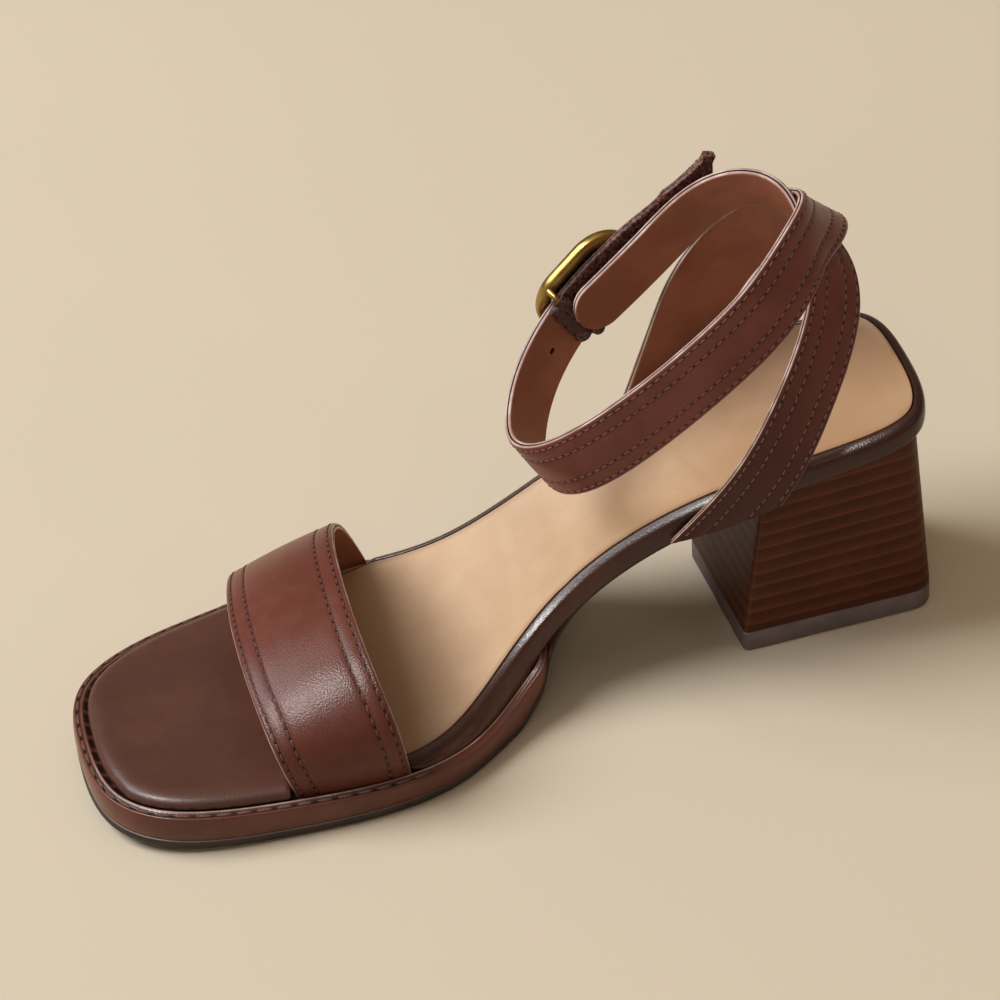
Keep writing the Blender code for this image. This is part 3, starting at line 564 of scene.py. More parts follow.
# Platform: a leather covered slab under the ball and toe with a welt that stands out all round.
# The welt is sewn to the footbed through a groove on its top, with one coarse waxed stitch.
FLAT_REAR = 127.0
FLAT_FRONT = 186.0
TOE_SPRING = 3.2
TOE_SPRING_RUN = 58.0
SHANK_END = 101.0
TAPER = (108.0, 120.0)
PLATFORM_REAR = 109.0
PLATFORM_CLOSE = 7.0
WELT_OUT = 4.3
WAIST_IN = 1.4
WELT_ROLL = [
    # outset, height share, rise over the platform top
    (3.8, 0.0, 0.0), (4.3, 0.3, 0.0), (4.35, 0.66, 0.0), (4.0, 0.92, 0.0), (3.5, 1.0, -0.2),
    (2.95, 1.0, -0.2), (2.4, 1.0, 0.05), (1.9, 1.0, 0.45), (1.4, 1.0, 0.4), (0.9, 1.0, 0.2),
    (0.1, 1.0, -0.15), (-1.0, 1.0, 0.0),
]
WELT_STEPS = 44
WELT_STITCH = (4.3, 1.15, 0.95)
WELT_STITCH_LEVEL = 5.15
WELT_STITCH_REAR = 158.0
WELT_STITCH_LIFT = 0.12
WELT_FADE = (115.0, 123.0)
SEWN_FADE = (150.0, 163.0)


def shank_bottom(along):
    return footbed_under(along) - SEAT_GAP - sole_thick(along)


def ground(along, share=0.0):
    """Underside of the sole: flat under the ball, sprung at the toe, rising into the arch."""
    along = np.asarray(along, float)
    spring = TOE_SPRING * np.clip((along - FLAT_FRONT) / TOE_SPRING_RUN, 0.0, None) ** 2
    start = shank_bottom(np.array(SHANK_END))
    slope = shank_bottom(np.array(SHANK_END + 0.5)) - shank_bottom(np.array(SHANK_END - 0.5))
    run = FLAT_REAR - SHANK_END
    part = np.clip((along - SHANK_END) / run, 0.0, 1.0)
    rise = start * (2 * part ** 3 - 3 * part ** 2 + 1) + slope * run * (part ** 3 - 2 * part ** 2 + part)
    return np.where(along < SHANK_END, shank_bottom(along), np.where(along < FLAT_REAR, rise, spring))


def sole_top(along, share=0.0):
    return ground(along) + sole_thick(along)


def platform_under(along, share=0.0):
    return sole_top(along) + SEAT_GAP


def platform_top(along, share=0.0):
    return footbed_under(along) - SEAT_GAP


def taper(along, full, narrow):
    return narrow + (full - narrow) * smooth(along, *TAPER)


def closed_rear(plan, close):
    """Rounds off the cut rear end of a ring."""
    near = np.clip((plan[:, 0].min() + close - plan[:, 0]) / close, 0.0, 1.0)
    middle = (plan[:, 1] + plan[::-1, 1]) / 2.0
    return np.column_stack([plan[:, 0], middle + (plan[:, 1] - middle) * np.sqrt(1.0 - near ** 2)])


def platform_finish():
    mix = Finish("platform_leather", Specular_IOR_Level=0.38)
    grain = mix.effect(leather_grain)
    level, sewn, piped = (mix.mark(name) for name in ("level", "sewn", "piped"))
    inner = mix.axes["Y"]
    colour = mix.tint(grain["Tone"], (0.106, 0.0288, 0.0172), (0.158, 0.0460, 0.0282))
    needle = mix.ramp(mix.away(mix.phase(mix.mark("run"), WELT_PITCH), 0.5), 0.30, 0.42)
    bridge = mix.times(sewn, needle, mix.ramp(inner, 0.034, 0.020, 0.0, 0.75))
    # Painted shadow in the gap between the footbed wall and the welt's ridge, lifted where the stitches
    # bridge it.
    gap_shadow = mix.times(mix.ramp(level, 7.7, 8.2), piped, mix.minus(0.92, bridge))
    colour = mix.tint(gap_shadow, colour, (0.010, 0.005, 0.004))
    # Painted highlight along the welt's ridge, strongest on the inner side.
    ridge_highlight = mix.times(mix.ramp(level, 6.6, 7.05), mix.ramp(level, 7.75, 7.4))
    ridge_highlight = mix.times(ridge_highlight, mix.gain(grain["Rub"], 0.5, 0.45))
    ridge_highlight = mix.times(ridge_highlight, piped, mix.ramp(inner, 0.0, 0.030, 0.12, 1.0))
    colour = mix.tint(ridge_highlight, colour, (0.640, 0.500, 0.440))
    channel = mix.ramp(mix.away(level, WELT_STITCH_LEVEL), 1.15, 0.6)
    slot = mix.times(channel, sewn, mix.gain(needle, 0.5, 0.45))
    colour = mix.tint(slot, colour, (0.012, 0.005, 0.004))
    height = mix.minus(mix.times(grain["Height"], 0.5), slot)
    return mix.shade(colour, mix.gain(grain["Rub"], 0.08, 0.29), height, 0.3)


def stitches(name, centres, runs, outs, size, finish):
    """One joined mesh of short threads, each a drawn-out round shape laid along its run."""
    one = bmesh.new()
    bmesh.ops.create_uvsphere(one, u_segments=8, v_segments=6, radius=0.5)
    shape = np.array([vert.co for vert in one.verts]) * np.array([size[1], size[2], size[0]]) * MM
    faces = np.array([[vert.index for vert in (*face.verts, face.verts[-1])][:4] for face in one.faces])
    one.free()
    axes = np.stack([np.cross(outs, runs), outs, runs], axis=1)
    spots = np.einsum("vk,nkc->nvc", shape, axes) + ((centres + SHIFT) * MM)[:, None]
    corners = [list(dict.fromkeys(face)) for face in faces.tolist()]
    starts = range(0, spots.size // 3, len(shape))
    joined = bpy.data.meshes.new(name + "_joined")
    joined.from_pydata(spots.reshape(-1, 3).tolist(), [],
                       [[k + start for k in face] for start in starts for face in corners])
    work = bmesh.new()
    work.from_mesh(joined)
    bpy.data.meshes.remove(joined)
    bmesh.ops.recalc_face_normals(work, faces=work.faces)
    finish_piece(name, work, finish, "leather_brown")


def thread_finish(name, dark, light, twist):
    mix = Finish(name, Specular_IOR_Level=0.18)
    ply = mix.node("TexWave", {"Vector": mix.place, "Scale": twist, "Distortion": 3.0}).outputs["Fac"]
    fuzz = mix.noise(1500.0, 2.0)
    colour = mix.tint(mix.times(ply, fuzz), dark, light)
    return mix.shade(colour, mix.gain(fuzz, 0.2, 0.5), ply, 0.4, 0.0002)


welt_spots, welt_normals = side_ring(PLATFORM_REAR)
welt_rows = []
for outset, share, rise in WELT_ROLL:
    outset = taper(welt_spots[:, 0], WELT_OUT, -WAIST_IN) + outset - WELT_OUT
    plan = closed_rear(welt_spots + welt_normals * outset[:, None], PLATFORM_CLOSE)
    low = platform_under(plan[:, 0])
    high = platform_top(plan[:, 0]) + rise * taper(plan[:, 0], 1.0, 0.0)
    welt_rows.append(np.column_stack([plan, low + (high - low) * share]))
welt_at = between_rows(WELT_ROLL, WELT_STEPS)
welt_curve = row_spline(welt_rows)
welt_rows = welt_curve(welt_at)
platform_points = np.array([
    *inward_rows(welt_rows[0], (1.0, 0.5), platform_under),
    *welt_rows,
    *inward_rows(welt_rows[-1], (0.5, 1.0), platform_top),
])
stitch_line = welt_curve(WELT_STITCH_LEVEL)
stitch_run = ring_arc(stitch_line)
level_marks = np.concatenate([[0.0, 0.0], welt_at, welt_at[[-1, -1]]])
platform_mesh = skin(
    platform_points,
    level=spread(level_marks, platform_points.shape[1]),
    run=np.tile(stitch_run, (len(level_marks), 1)),
    piped=smooth(platform_points[:, :, 0], *WELT_FADE),
    sewn=smooth(platform_points[:, :, 0], *SEWN_FADE),
)
finish_piece("platform_welted", platform_mesh, platform_finish(), "leather_brown", "platform")

stitch_arc = (np.arange(stitch_run[0] // WELT_PITCH, stitch_run[-1] // WELT_PITCH) + 0.5) * WELT_PITCH
stitch_arc = stitch_arc[np.interp(stitch_arc, stitch_run, stitch_line[:, 0]) > WELT_STITCH_REAR]
stitch_rear, stitch_at, stitch_front = (follow(stitch_arc + step, stitch_run, stitch_line)
                                        for step in (-0.5, 0.0, 0.5))
stitch_runs = unit(stitch_front - stitch_rear)
stitch_outs = unit(np.array([0.0, 0.0, 1.0]) - stitch_runs * stitch_runs[:, 2:])
welt_thread = thread_finish("welt_thread", (0.060, 0.022, 0.015), (0.330, 0.185, 0.145), 700.0)
stitches("welt_stitches", stitch_at + stitch_outs * WELT_STITCH_LIFT, stitch_runs, stitch_outs, WELT_STITCH,
         welt_thread)

# Outsole: a thin dark sole sheet glued under the platform and up the arch to the front of the heel.
# Its edge is trimmed close, inked dark and shows one pale line where it meets the platform.
SOLE_IN = 0.3
SOLE_WAIST_IN = 2.0
OUTSOLE_REAR = 50.6
OUTSOLE_CLOSE = 0.05
SOLE_ROLL = [
    # inset, height share
    (0.9, 0.0), (0.0, 0.3), (0.0, 0.8), (0.6, 1.0),
]
SOLE_STEPS = 12


def outsole_finish():
    mix = Finish("outsole_sheet", Specular_IOR_Level=0.4)
    cloud = mix.ramp(mix.noise(70.0, 4.0), 0.3, 0.7)
    colour = mix.tint(cloud, (0.021, 0.011, 0.008), (0.042, 0.021, 0.015))
    pale = mix.times(mix.ramp(mix.mark("level"), 2.25, 2.6), 0.75)
    colour = mix.tint(pale, colour, (0.235, 0.135, 0.100))
    return mix.shade(colour, mix.gain(cloud, 0.16, 0.48), mix.cells(420.0, "DISTANCE_TO_EDGE"), 0.25)


sole_spots, sole_normals = side_ring(OUTSOLE_REAR)
sole_rows = []
for inset, share in SOLE_ROLL:
    outset = taper(sole_spots[:, 0], WELT_OUT - SOLE_IN, -SOLE_WAIST_IN) - inset
    plan = closed_rear(sole_spots + sole_normals * outset[:, None], OUTSOLE_CLOSE)
    low, high = ground(plan[:, 0]), sole_top(plan[:, 0])
    sole_rows.append(np.column_stack([plan, low + (high - low) * share]))
sole_at = between_rows(SOLE_ROLL, SOLE_STEPS)
sole_rows = row_spline(sole_rows)(sole_at)
outsole_points = np.array([
    *inward_rows(sole_rows[0], (1.0, 0.5), ground),
    *sole_rows,
    *inward_rows(sole_rows[-1], (0.5, 1.0), sole_top),
])
sole_levels = np.concatenate([[0.0, 0.0], sole_at, sole_at[[-1, -1]]])
outsole_mesh = skin(outsole_points, level=spread(sole_levels, outsole_points.shape[1]))
finish_piece("outsole_sheet", outsole_mesh, outsole_finish(), "sole_dark", "outsole")

# Heel block: a tall block built up from thin lifts of leatherboard, sanded flush and inked dark brown.
# The lifts show as fine paler lines; the block is nailed on under the heel of the footbed.
HEEL_BASE = {"back": -2.0, "front": LIFT_CORNER[0], "inner": LIFT_CORNER[1], "outer": -24.5}
HEEL_TOP = {"back": 4.2, "front": 48.4, "inner": 22.0, "outer": -26.4}
HEEL_BACK_RADIUS = 6.0
HEEL_FRONT_RADIUS = 1.6
HEEL_BACK_BOW = 1.2
HEEL_MIDDLE = 27.0
HEEL_PEAK = 74.0
HEEL_FIRST_TOP = 66.0
HEEL_SETTLES = 6
HEEL_LEVELS = 40
HEEL_TURNS = 10
HEEL_SIDES = 14
HEEL_CREASE = 40.0
LIFT_HEIGHT = 6.6
LAYER_PITCH = 4.3
LAYER_FAN = 0.7857


def heel_plan(share):
    """Rounded rectangle of the heel block at a share of its height, and how far round each corner."""
    size = {key: HEEL_BASE[key] + (HEEL_TOP[key] - HEEL_BASE[key]) * share for key in HEEL_BASE}
    corners = (
        (size["back"], size["inner"], HEEL_BACK_RADIUS, 90.0),
        (size["back"], size["outer"], HEEL_BACK_RADIUS, 180.0),
        (size["front"], size["outer"], HEEL_FRONT_RADIUS, 270.0),
        (size["front"], size["inner"], HEEL_FRONT_RADIUS, 0.0),
    )
    loop = []
    for along, side, radius, first in corners:
        centre = (along + math.copysign(radius, HEEL_MIDDLE - along), side - math.copysign(radius, side))
        for turn in range(HEEL_TURNS + 1):
            angle = math.radians(first + 90.0 * turn / HEEL_TURNS)
            bend = math.sin(math.pi * turn / HEEL_TURNS)
            loop.append((centre[0] + radius * math.cos(angle), centre[1] + radius * math.sin(angle), bend))
    loop = np.array(loop + loop[:1])
    pieces = [HEEL_SIDES if k % (HEEL_TURNS + 1) == HEEL_TURNS else 1 for k in range(len(loop) - 1)]
    fine = [np.linspace(k, k + 1, count, endpoint=False) for k, count in enumerate(pieces)]
    loop = follow(np.concatenate([*fine, [len(loop) - 1.0]]), np.arange(len(loop)), loop)
    reach = (size["inner"] - size["outer"]) / 2.0
    bow = HEEL_BACK_BOW * ((loop[:, 1] - (size["inner"] + size["outer"]) / 2.0) / reach) ** 2
    back = np.clip((size["front"] - loop[:, 0]) / (size["front"] - size["back"]), 0.0, 1.0)
    loop[:, 0] += bow * back
    return loop[:, :2], loop[:, 2]


def heel_finish():
    mix = Finish("heel_stack", Specular_IOR_Level=0.12)
    warp = mix.times(mix.minus(mix.noise(45.0, 2.0), 0.5), 0.0009)
    level = mix.gain(mix.times(mix.axes["X"], mix.axes["Z"]), LAYER_FAN, mix.axes["Z"])
    phase = mix.phase(mix.calc("ADD", level, warp), LAYER_PITCH * MM)
    glow = mix.calc("POWER", mix.minus(1.0, phase), 2.6)
    line = mix.times(glow, mix.ramp(phase, 0.0, 0.10))
    drawn_out = mix.node("Mapping", {"Vector": mix.place, "Scale": (60.0, 60.0, 1600.0)}).outputs[0]
    fibre = mix.noise(1.0, 4.0, 0.6, drawn_out)
    colour = mix.tint(mix.ramp(mix.noise(40.0), 0.3, 0.7), (0.054, 0.0142, 0.0070), (0.078, 0.021, 0.0105))
    colour = mix.tint(mix.ramp(fibre, 0.45, 0.75, 0.0, 0.55), colour, (0.076, 0.022, 0.0105))
    colour = mix.tint(mix.times(line, mix.gain(fibre, 0.6, 0.35)), colour, (0.190, 0.058, 0.026))
    # Lighter along the front corners: partly worn edges, partly a painted highlight.
    worn = mix.times(mix.ramp(mix.mark("corner"), 0.55, 0.95), 0.35)
    colour = mix.tint(worn, colour, (0.140, 0.055, 0.032))
    height = mix.minus(mix.times(fibre, 0.4), line)
    return mix.shade(colour, mix.gain(fibre, 0.16, 0.36), height, 0.25, 0.0003)


heel_shares = np.linspace(0.0, 1.0, HEEL_LEVELS + 1)
heel_by_share = spline(heel_shares, np.array([heel_plan(share)[0] for share in heel_shares]))
heel_foot = LIFT_HEIGHT + SEAT_GAP
base_plan, base_bend = heel_plan(0.0)


def heel_at(heights):
    """Plan of the block with every column of its loop at a height of its own."""
    columns = np.arange(len(heights))
    return heel_by_share((heights - heel_foot) / (HEEL_PEAK - heel_foot))[columns, columns]


heel_tops = np.full(len(base_plan), HEEL_FIRST_TOP)
for _ in range(HEEL_SETTLES):
    heel_tops = footbed_under(heel_at(heel_tops)[:, 0]) - SEAT_GAP
heel_heights = [heel_foot + (heel_tops - heel_foot) * share for share in heel_shares]
heel_points = np.array([np.column_stack([heel_at(heights), heights]) for heights in heel_heights])
heel_corner = np.tile(base_bend * (base_plan[:, 0] > HEEL_MIDDLE), (HEEL_LEVELS + 1, 1))
finish_piece("heel_stack", skin(heel_points, corner=heel_corner), heel_finish(), "heel_stack", "heel_block",
             crease=HEEL_CREASE)

# Top lift: the wearing piece of hard dark rubber under the heel block, glued and pinned on.
# Its lower edge is slightly rounded and scuffed paler by the floor.
LIFT_EDGE = 0.7
LIFT_ROLL = [
    # inset, up
    (LIFT_EDGE, 0.0), (0.3, 0.12), (0.08, 0.4), (0.0, LIFT_EDGE), (0.0, LIFT_HEIGHT - 0.25),
    (0.25, LIFT_HEIGHT),
]


def lift_finish():
    mix = Finish("top_lift_rubber", Specular_IOR_Level=0.35)
    cloud = mix.ramp(mix.noise(120.0, 4.0), 0.3, 0.7)
    colour = mix.tint(cloud, (0.125, 0.092, 0.094), (0.170, 0.128, 0.130))
    scuff = mix.times(mix.ramp(mix.axes["Z"], 0.0016, 0.0002), mix.ramp(mix.noise(300.0, 4.0), 0.4, 0.7))
    colour = mix.tint(scuff, colour, (0.180, 0.140, 0.125))
    grit = mix.noise(2200.0)
    return mix.shade(colour, mix.gain(grit, 0.2, 0.52), grit, 0.15)


lift_middle = base_plan[:-1].mean(axis=0)
lift_points = []
for inset, up in LIFT_ROLL:
    shrunk = lift_middle + (base_plan - lift_middle) * (1.0 - inset / HEEL_MIDDLE)
    lift_points.append(np.column_stack([shrunk, np.full(len(shrunk), up)]))
finish_piece("heel_top_lift", skin(np.array(lift_points)), lift_finish(), "lift_grey", "top_lift",
             crease=HEEL_CREASE)

# Vamp strap: a broad band over the toes, of brown leather glued back to back with a smooth lining.
# Two rows of small stitches run along each edge; both ends are lasted down inside the welt.
VAMP_BULGE = 0.7
VAMP_ENDS = 0.012
VAMP_STATIONS = 110
VAMP_PITCH = 3.1
VAMP_FOOT = 36.0
VAMP_SHADOW = 0.22
VAMP_NEEDLE = 0.9
VAMP_STITCH_SINK = 0.06
STITCH_INSETS = (1.5, 5.6)
STITCH_LINES = [(inset, sign) for inset in STITCH_INSETS for sign in (1.0, -1.0)]
STITCH_SIZE = (2.0, 0.62, 0.5)
# Half of a strap's section from its outer middle over the cut edge to the middle of the lining
SECTION = np.array([
    # from the edge, outward from the middle, side: 1 leather, 0 seam, -1 lining
    (7.2, 1.24, 1.0), (6.3, 1.15, 1.0), (5.9, 1.04, 1.0), (5.6, 0.98, 1.0), (5.3, 1.03, 1.0),
    (4.8, 1.14, 1.0), (3.5, 1.21, 1.0), (2.2, 1.14, 1.0), (1.8, 1.05, 1.0), (1.5, 0.99, 1.0),
    (1.2, 1.02, 1.0), (0.8, 1.05, 1.0),
    (0.35, 0.95, 1.0), (0.08, 0.72, 0.8), (0.0, 0.45, 0.5), (0.10, 0.15, 0.15), (0.38, 0.0, 0.0),
    (0.10, -0.15, -0.15), (0.0, -0.45, -0.5), (0.08, -0.75, -0.8), (0.35, -1.02, -1.0), (0.9, -1.12, -1.0),
    (3.0, -1.15, -1.0), (6.0, -1.15, -1.0),
])
SECTION_THICK = 2.3
SECTION_CROWN = 0.06
MIDDLE_SHARES = np.array([0.0, 0.35, 0.7])
MIDDLE_EDGE = 9.0
NARROW = 8.0


def full_section(half):
    """Side, outward place, edge distance and face round a strap, a row for each half width."""
    count = len(MIDDLE_SHARES)
    side = half[:, None] - SECTION[:, 0] * np.minimum(1.0, half / NARROW)[:, None]
    side = np.hstack([side[:, :1] * MIDDLE_SHARES, side, side[:, -1:] * MIDDLE_SHARES[::-1]])
    crown = SECTION[0, 1] + SECTION_CROWN * (1.0 - MIDDLE_SHARES ** 2)
    out = np.concatenate([crown, SECTION[:, 1], np.full(count, SECTION[-1, 1])])
    edge = np.concatenate([np.full(count, MIDDLE_EDGE), SECTION[:, 0], np.full(count, MIDDLE_EDGE)])
    face = np.concatenate([np.ones(count), SECTION[:, 2], -np.ones(count)])
    loops = [side, *(np.tile(one, (len(half), 1)) for one in (out, edge, face))]
    back = slice(-2, None, -1)
    return [np.hstack([one, sign * one[:, back]]) for one, sign in zip(loops, (-1.0, 1.0, 1.0, 1.0))]


def stitch_rows_effect():
    """Needle holes and pulled-in seam rows of a stitched band, from its edge and run distances."""
    mix = Effect("stitch_rows", ("Groove", "Hole"), Edge=9.0, Run=0.0, Pitch=3.0)
    pitch = mix.given["Pitch"]
    off = mix.calc("MINIMUM", *(mix.away(mix.given["Edge"], inset) for inset in STITCH_INSETS))
    step = mix.times(mix.away(mix.phase(mix.given["Run"], pitch), 0.5), pitch)
    reach = mix.calc("SQRT", mix.gain(off, off, mix.times(step, step)))
    return mix.give(Groove=mix.ramp(off, 0.75, 0.2), Hole=mix.ramp(reach, 0.52, 0.30))


stitch_rows = stitch_rows_effect()


def band_finish(name, pitch, foot, shadow, needle, dark, mid, worn):
    """Brown leather with seam rows on one face, a pale cut edge and a smooth lining."""
    mix = Finish(name, Specular_IOR_Level=0.18)
    grain = mix.effect(leather_grain)
    face, edge, run, aged = (mix.mark(label) for label in ("face", "edge", "run", "aged"))
    rows = mix.effect(stitch_rows, Edge=edge, Run=run, Pitch=pitch)
    outside = mix.ramp(face, 0.80, 0.95)
    leather = mix.tint(grain["Tone"], dark, mid)
    leather = mix.tint(mix.times(grain["Rub"], 0.30), leather, worn)
    leather = mix.tint(mix.ramp(run, foot, 0.3 * foot, 0.0, shadow), leather, (0.040, 0.0100, 0.0072))
    leather = mix.tint(mix.times(rows["Groove"], 0.40), leather, (0.036, 0.011, 0.008))
    leather = mix.tint(mix.times(rows["Hole"], needle), leather, (0.014, 0.005, 0.004))
    cut = mix.tint(grain["Rub"], (0.430, 0.265, 0.220), (0.720, 0.550, 0.490))
    cut = mix.tint(mix.ramp(mix.calc("ABSOLUTE", face), 0.34, 0.14), cut, (0.018, 0.008, 0.006))
    lining = mix.tint(grain["Tone"], (0.270, 0.096, 0.055), (0.365, 0.138, 0.081))
    scuff = mix.ramp(mix.noise(1100.0, 4.0, 0.7), 0.42, 0.66)
    # Near the buckle the cut edges and lining take a scuffed colour, partly real scuffing and partly painted
    # light lifting the shade there.
    scuffed_and_lit = mix.tint(scuff, (0.070, 0.022, 0.017), (0.310, 0.155, 0.130))
    colour = mix.tint(outside, mix.tint(aged, cut, scuffed_and_lit), leather)
    colour = mix.tint(mix.ramp(face, -0.85, -0.97), colour, mix.tint(aged, lining, scuffed_and_lit))
    rough = mix.gain(mix.ramp(face, 0.95, 0.5), 0.12, mix.gain(grain["Rub"], 0.06, 0.30))
    dip = mix.times(rows["Hole"], outside, 2.0)
    return mix.shade(colour, rough, mix.minus(grain["Height"], dip), 0.22)


def path_spline(rows):
    """Spline through rows of points, its parameter running from 0 to 1."""
    knots = summed(np.sqrt(gaps(rows[:, :3])))
    return spline(knots / knots[-1], rows)


vamp_front = path_spline(VAMP[:, :3])
vamp_rear = path_spline(VAMP[:, 3:])


def vamp_half(at):
    return np.linalg.norm(vamp_rear(at) - vamp_front(at), axis=1) / 2.0


def vamp_face(at, part):
    return vamp_front(at) * (1.0 - part[..., None]) + vamp_rear(at) * part[..., None]


def vamp_axes(at, part):
    """Place on the vamp's crowned face, its normal and its run direction."""
    fine, near = 0.004, 0.05
    run = vamp_face(at + fine, part) - vamp_face(at - fine, part)
    wide = vamp_face(at, part + near) - vamp_face(at, part - near)
    normal = unit(np.cross(wide, run))
    crown = VAMP_BULGE * 4.0 * part * (1.0 - part)
    return vamp_face(at, part) + normal * crown[..., None], normal, unit(run)


vamp_at = np.linspace(-VAMP_ENDS, 1.0 + VAMP_ENDS, VAMP_STATIONS + 1)
vamp_side, vamp_out, vamp_edge, vamp_facing = full_section(vamp_half(vamp_at))
vamp_part = 0.5 + vamp_side / (2.0 * vamp_half(vamp_at)[:, None])
vamp_spots, vamp_normals, _ = vamp_axes(spread(vamp_at, vamp_part.shape[1]), vamp_part)
vamp_lift = vamp_out * VAMP_THICK / SECTION_THICK - VAMP_THICK / 2.0
vamp_arc = summed(gaps(vamp_face(vamp_at, np.full(len(vamp_at), 0.5))))
vamp_mesh = skin(vamp_spots + vamp_normals * vamp_lift[..., None], edge=vamp_edge, face=vamp_facing,
                 run=spread(vamp_arc, vamp_part.shape[1]))
vamp_leather = band_finish("vamp_leather", VAMP_PITCH, VAMP_FOOT, VAMP_SHADOW, VAMP_NEEDLE,
                           (0.128, 0.0345, 0.0225), (0.150, 0.042, 0.0275), (0.180, 0.064, 0.045))
finish_piece("vamp_band", vamp_mesh, vamp_leather, "leather_brown", "vamp_strap")

thread_at = np.interp(np.arange(VAMP_PITCH, vamp_arc[-1], VAMP_PITCH), vamp_arc, vamp_at)
thread_half = vamp_half(thread_at)
thread_places = []
for inset, sign in STITCH_LINES:
    thread_part = 0.5 + sign * (thread_half - inset) / (2.0 * thread_half)
    thread_spots, thread_outs, thread_runs = vamp_axes(thread_at, thread_part)
    thread_places.append((thread_spots - thread_outs * VAMP_STITCH_SINK, thread_runs, thread_outs))
vamp_thread = thread_finish("vamp_thread", (0.115, 0.040, 0.030), (0.205, 0.088, 0.064), 900.0)
stitches("vamp_stitches", *(np.vstack(parts) for parts in zip(*thread_places)), STITCH_SIZE, vamp_thread)

# Ankle straps: two stitched bands that rise from the sole beside the heel, cross behind the ankle,
# where they are sewn together, and meet in the buckle; the holed one ends in a stitched point.
BUCKLE_STRAP = np.array([
    # along, across, up, width
    (72.5, 22.6, 40.7, 16.0), (54.6, 30.8, 68.4, 18.0), (41.2, 30.1, 94.0, 17.6),
    (29.3, 19.2, 114.0, 18.2), (27.3, 3.6, 125.0, 18.2), (35.9, -13.8, 131.4, 17.4),
    (48.4, -25.2, 123.9, 17.4), (64.2, -28.4, 108.0, 17.4), (86.6, -25.6, 91.5, 16.4),
])
HOLED_STRAP = np.array([
    # along, across, up, width
    (71.3, -31.5, 39.5, 18.0), (55.3, -35.4, 69.1, 22.0), (41.4, -34.3, 95.8, 24.0),
    (26.3, -22.7, 116.6, 21.0), (24.5, -4.2, 128.5, 18.6), (34.9, 15.0, 133.6, 18.6),
    (49.4, 26.4, 125.4, 19.6), (66.7, 28.6, 111.5, 20.0), (86.3, 26.4, 95.7, 20.0),
    (104.4, 16.2, 78.0, 20.0), (109.8, -1.9, 69.1, 19.6), (102.8, -20.1, 75.7, 18.8),
    (85.3, -31.0, 92.5, 18.2), (63.6, -32.6, 110.4, 17.8), (54.6, -31.2, 119.5, 17.0),
    (47.0, -29.0, 136.0, 16.4),
])
ANKLE_CENTRE = 45.0
ANKLE_LONG = 48.0
ANKLE_WIDE = 34.0
LEAN_SIDES = 0.13
LEAN_ENDS = -0.735
ROUND_END = 7.0
ROUND_END_UNSEWN = 4.0
POINT_LENGTH = 17.0
POINT_WIDTH = 3.6
POINT_NARROW = 0.92
POINT_UNSEWN = 2.5
JOIN_AT = 0.2996
JOIN_HALF = 4.5
JOIN_DEPTH = 3.0
JOIN_BEVEL = 0.5
STRAP_SAMPLES = 2000
STRAP_SPACING = 1.4
STRAP_END_ROWS = 20
STRAP_END_CLEAR = 0.4
STRAP_PITCH = 2.7
STRAP_FOOT = 96.0
STRAP_SHADOW = 0.82
STRAP_NEEDLE = 0.55
STRAP_STITCH_LIFT = 1.05
TRIM_AT = 70.0
TRIM_RISE = 1.8
TRIM_REACH = 5.0
BUCKLE_AT = 0.8369
BAR_AT = -8.2
AGED_FROM = 0.805
AGED_RUN = 0.01
HOLES = [
    # offset from the bar, half length, half width
    (-13.0, 1.0, 0.7), (0.0, 2.2, 1.35), (13.0, 1.0, 0.7),
]
PUNCH_REACH = 3.0
PUNCH_SIDES = 20


def strap_axes(curve, at):
    """Middle points, outward normals, run directions and widths of an ankle strap."""
    fine = 0.002
    rows = curve(at)
    run = unit(curve(at + fine)[..., :3] - curve(at - fine)[..., :3])
    out = np.stack([(rows[..., 0] - ANKLE_CENTRE) / ANKLE_LONG ** 2, rows[..., 1] / ANKLE_WIDE ** 2,
                    np.zeros(at.shape)], axis=-1)
    out = unit(out)
    out[..., 2] = LEAN_SIDES + LEAN_ENDS * out[..., 0]
    out = unit(out - run * (out * run).sum(axis=-1, keepdims=True))
    return rows[..., :3], out, run, rows[..., 3]


trim_rise = footbed_under(np.array(TRIM_AT)) + TRIM_RISE
trim_slope = footbed_under(np.array(TRIM_AT + TRIM_REACH)) - footbed_under(np.array(TRIM_AT - TRIM_REACH))
trim_slope /= 2.0 * TRIM_REACH


def point_end(part):
    return 1.0 - POINT_NARROW * part


def round_end(part):
    return np.sqrt(np.clip(1.0 - part ** 2, 0.0, None))


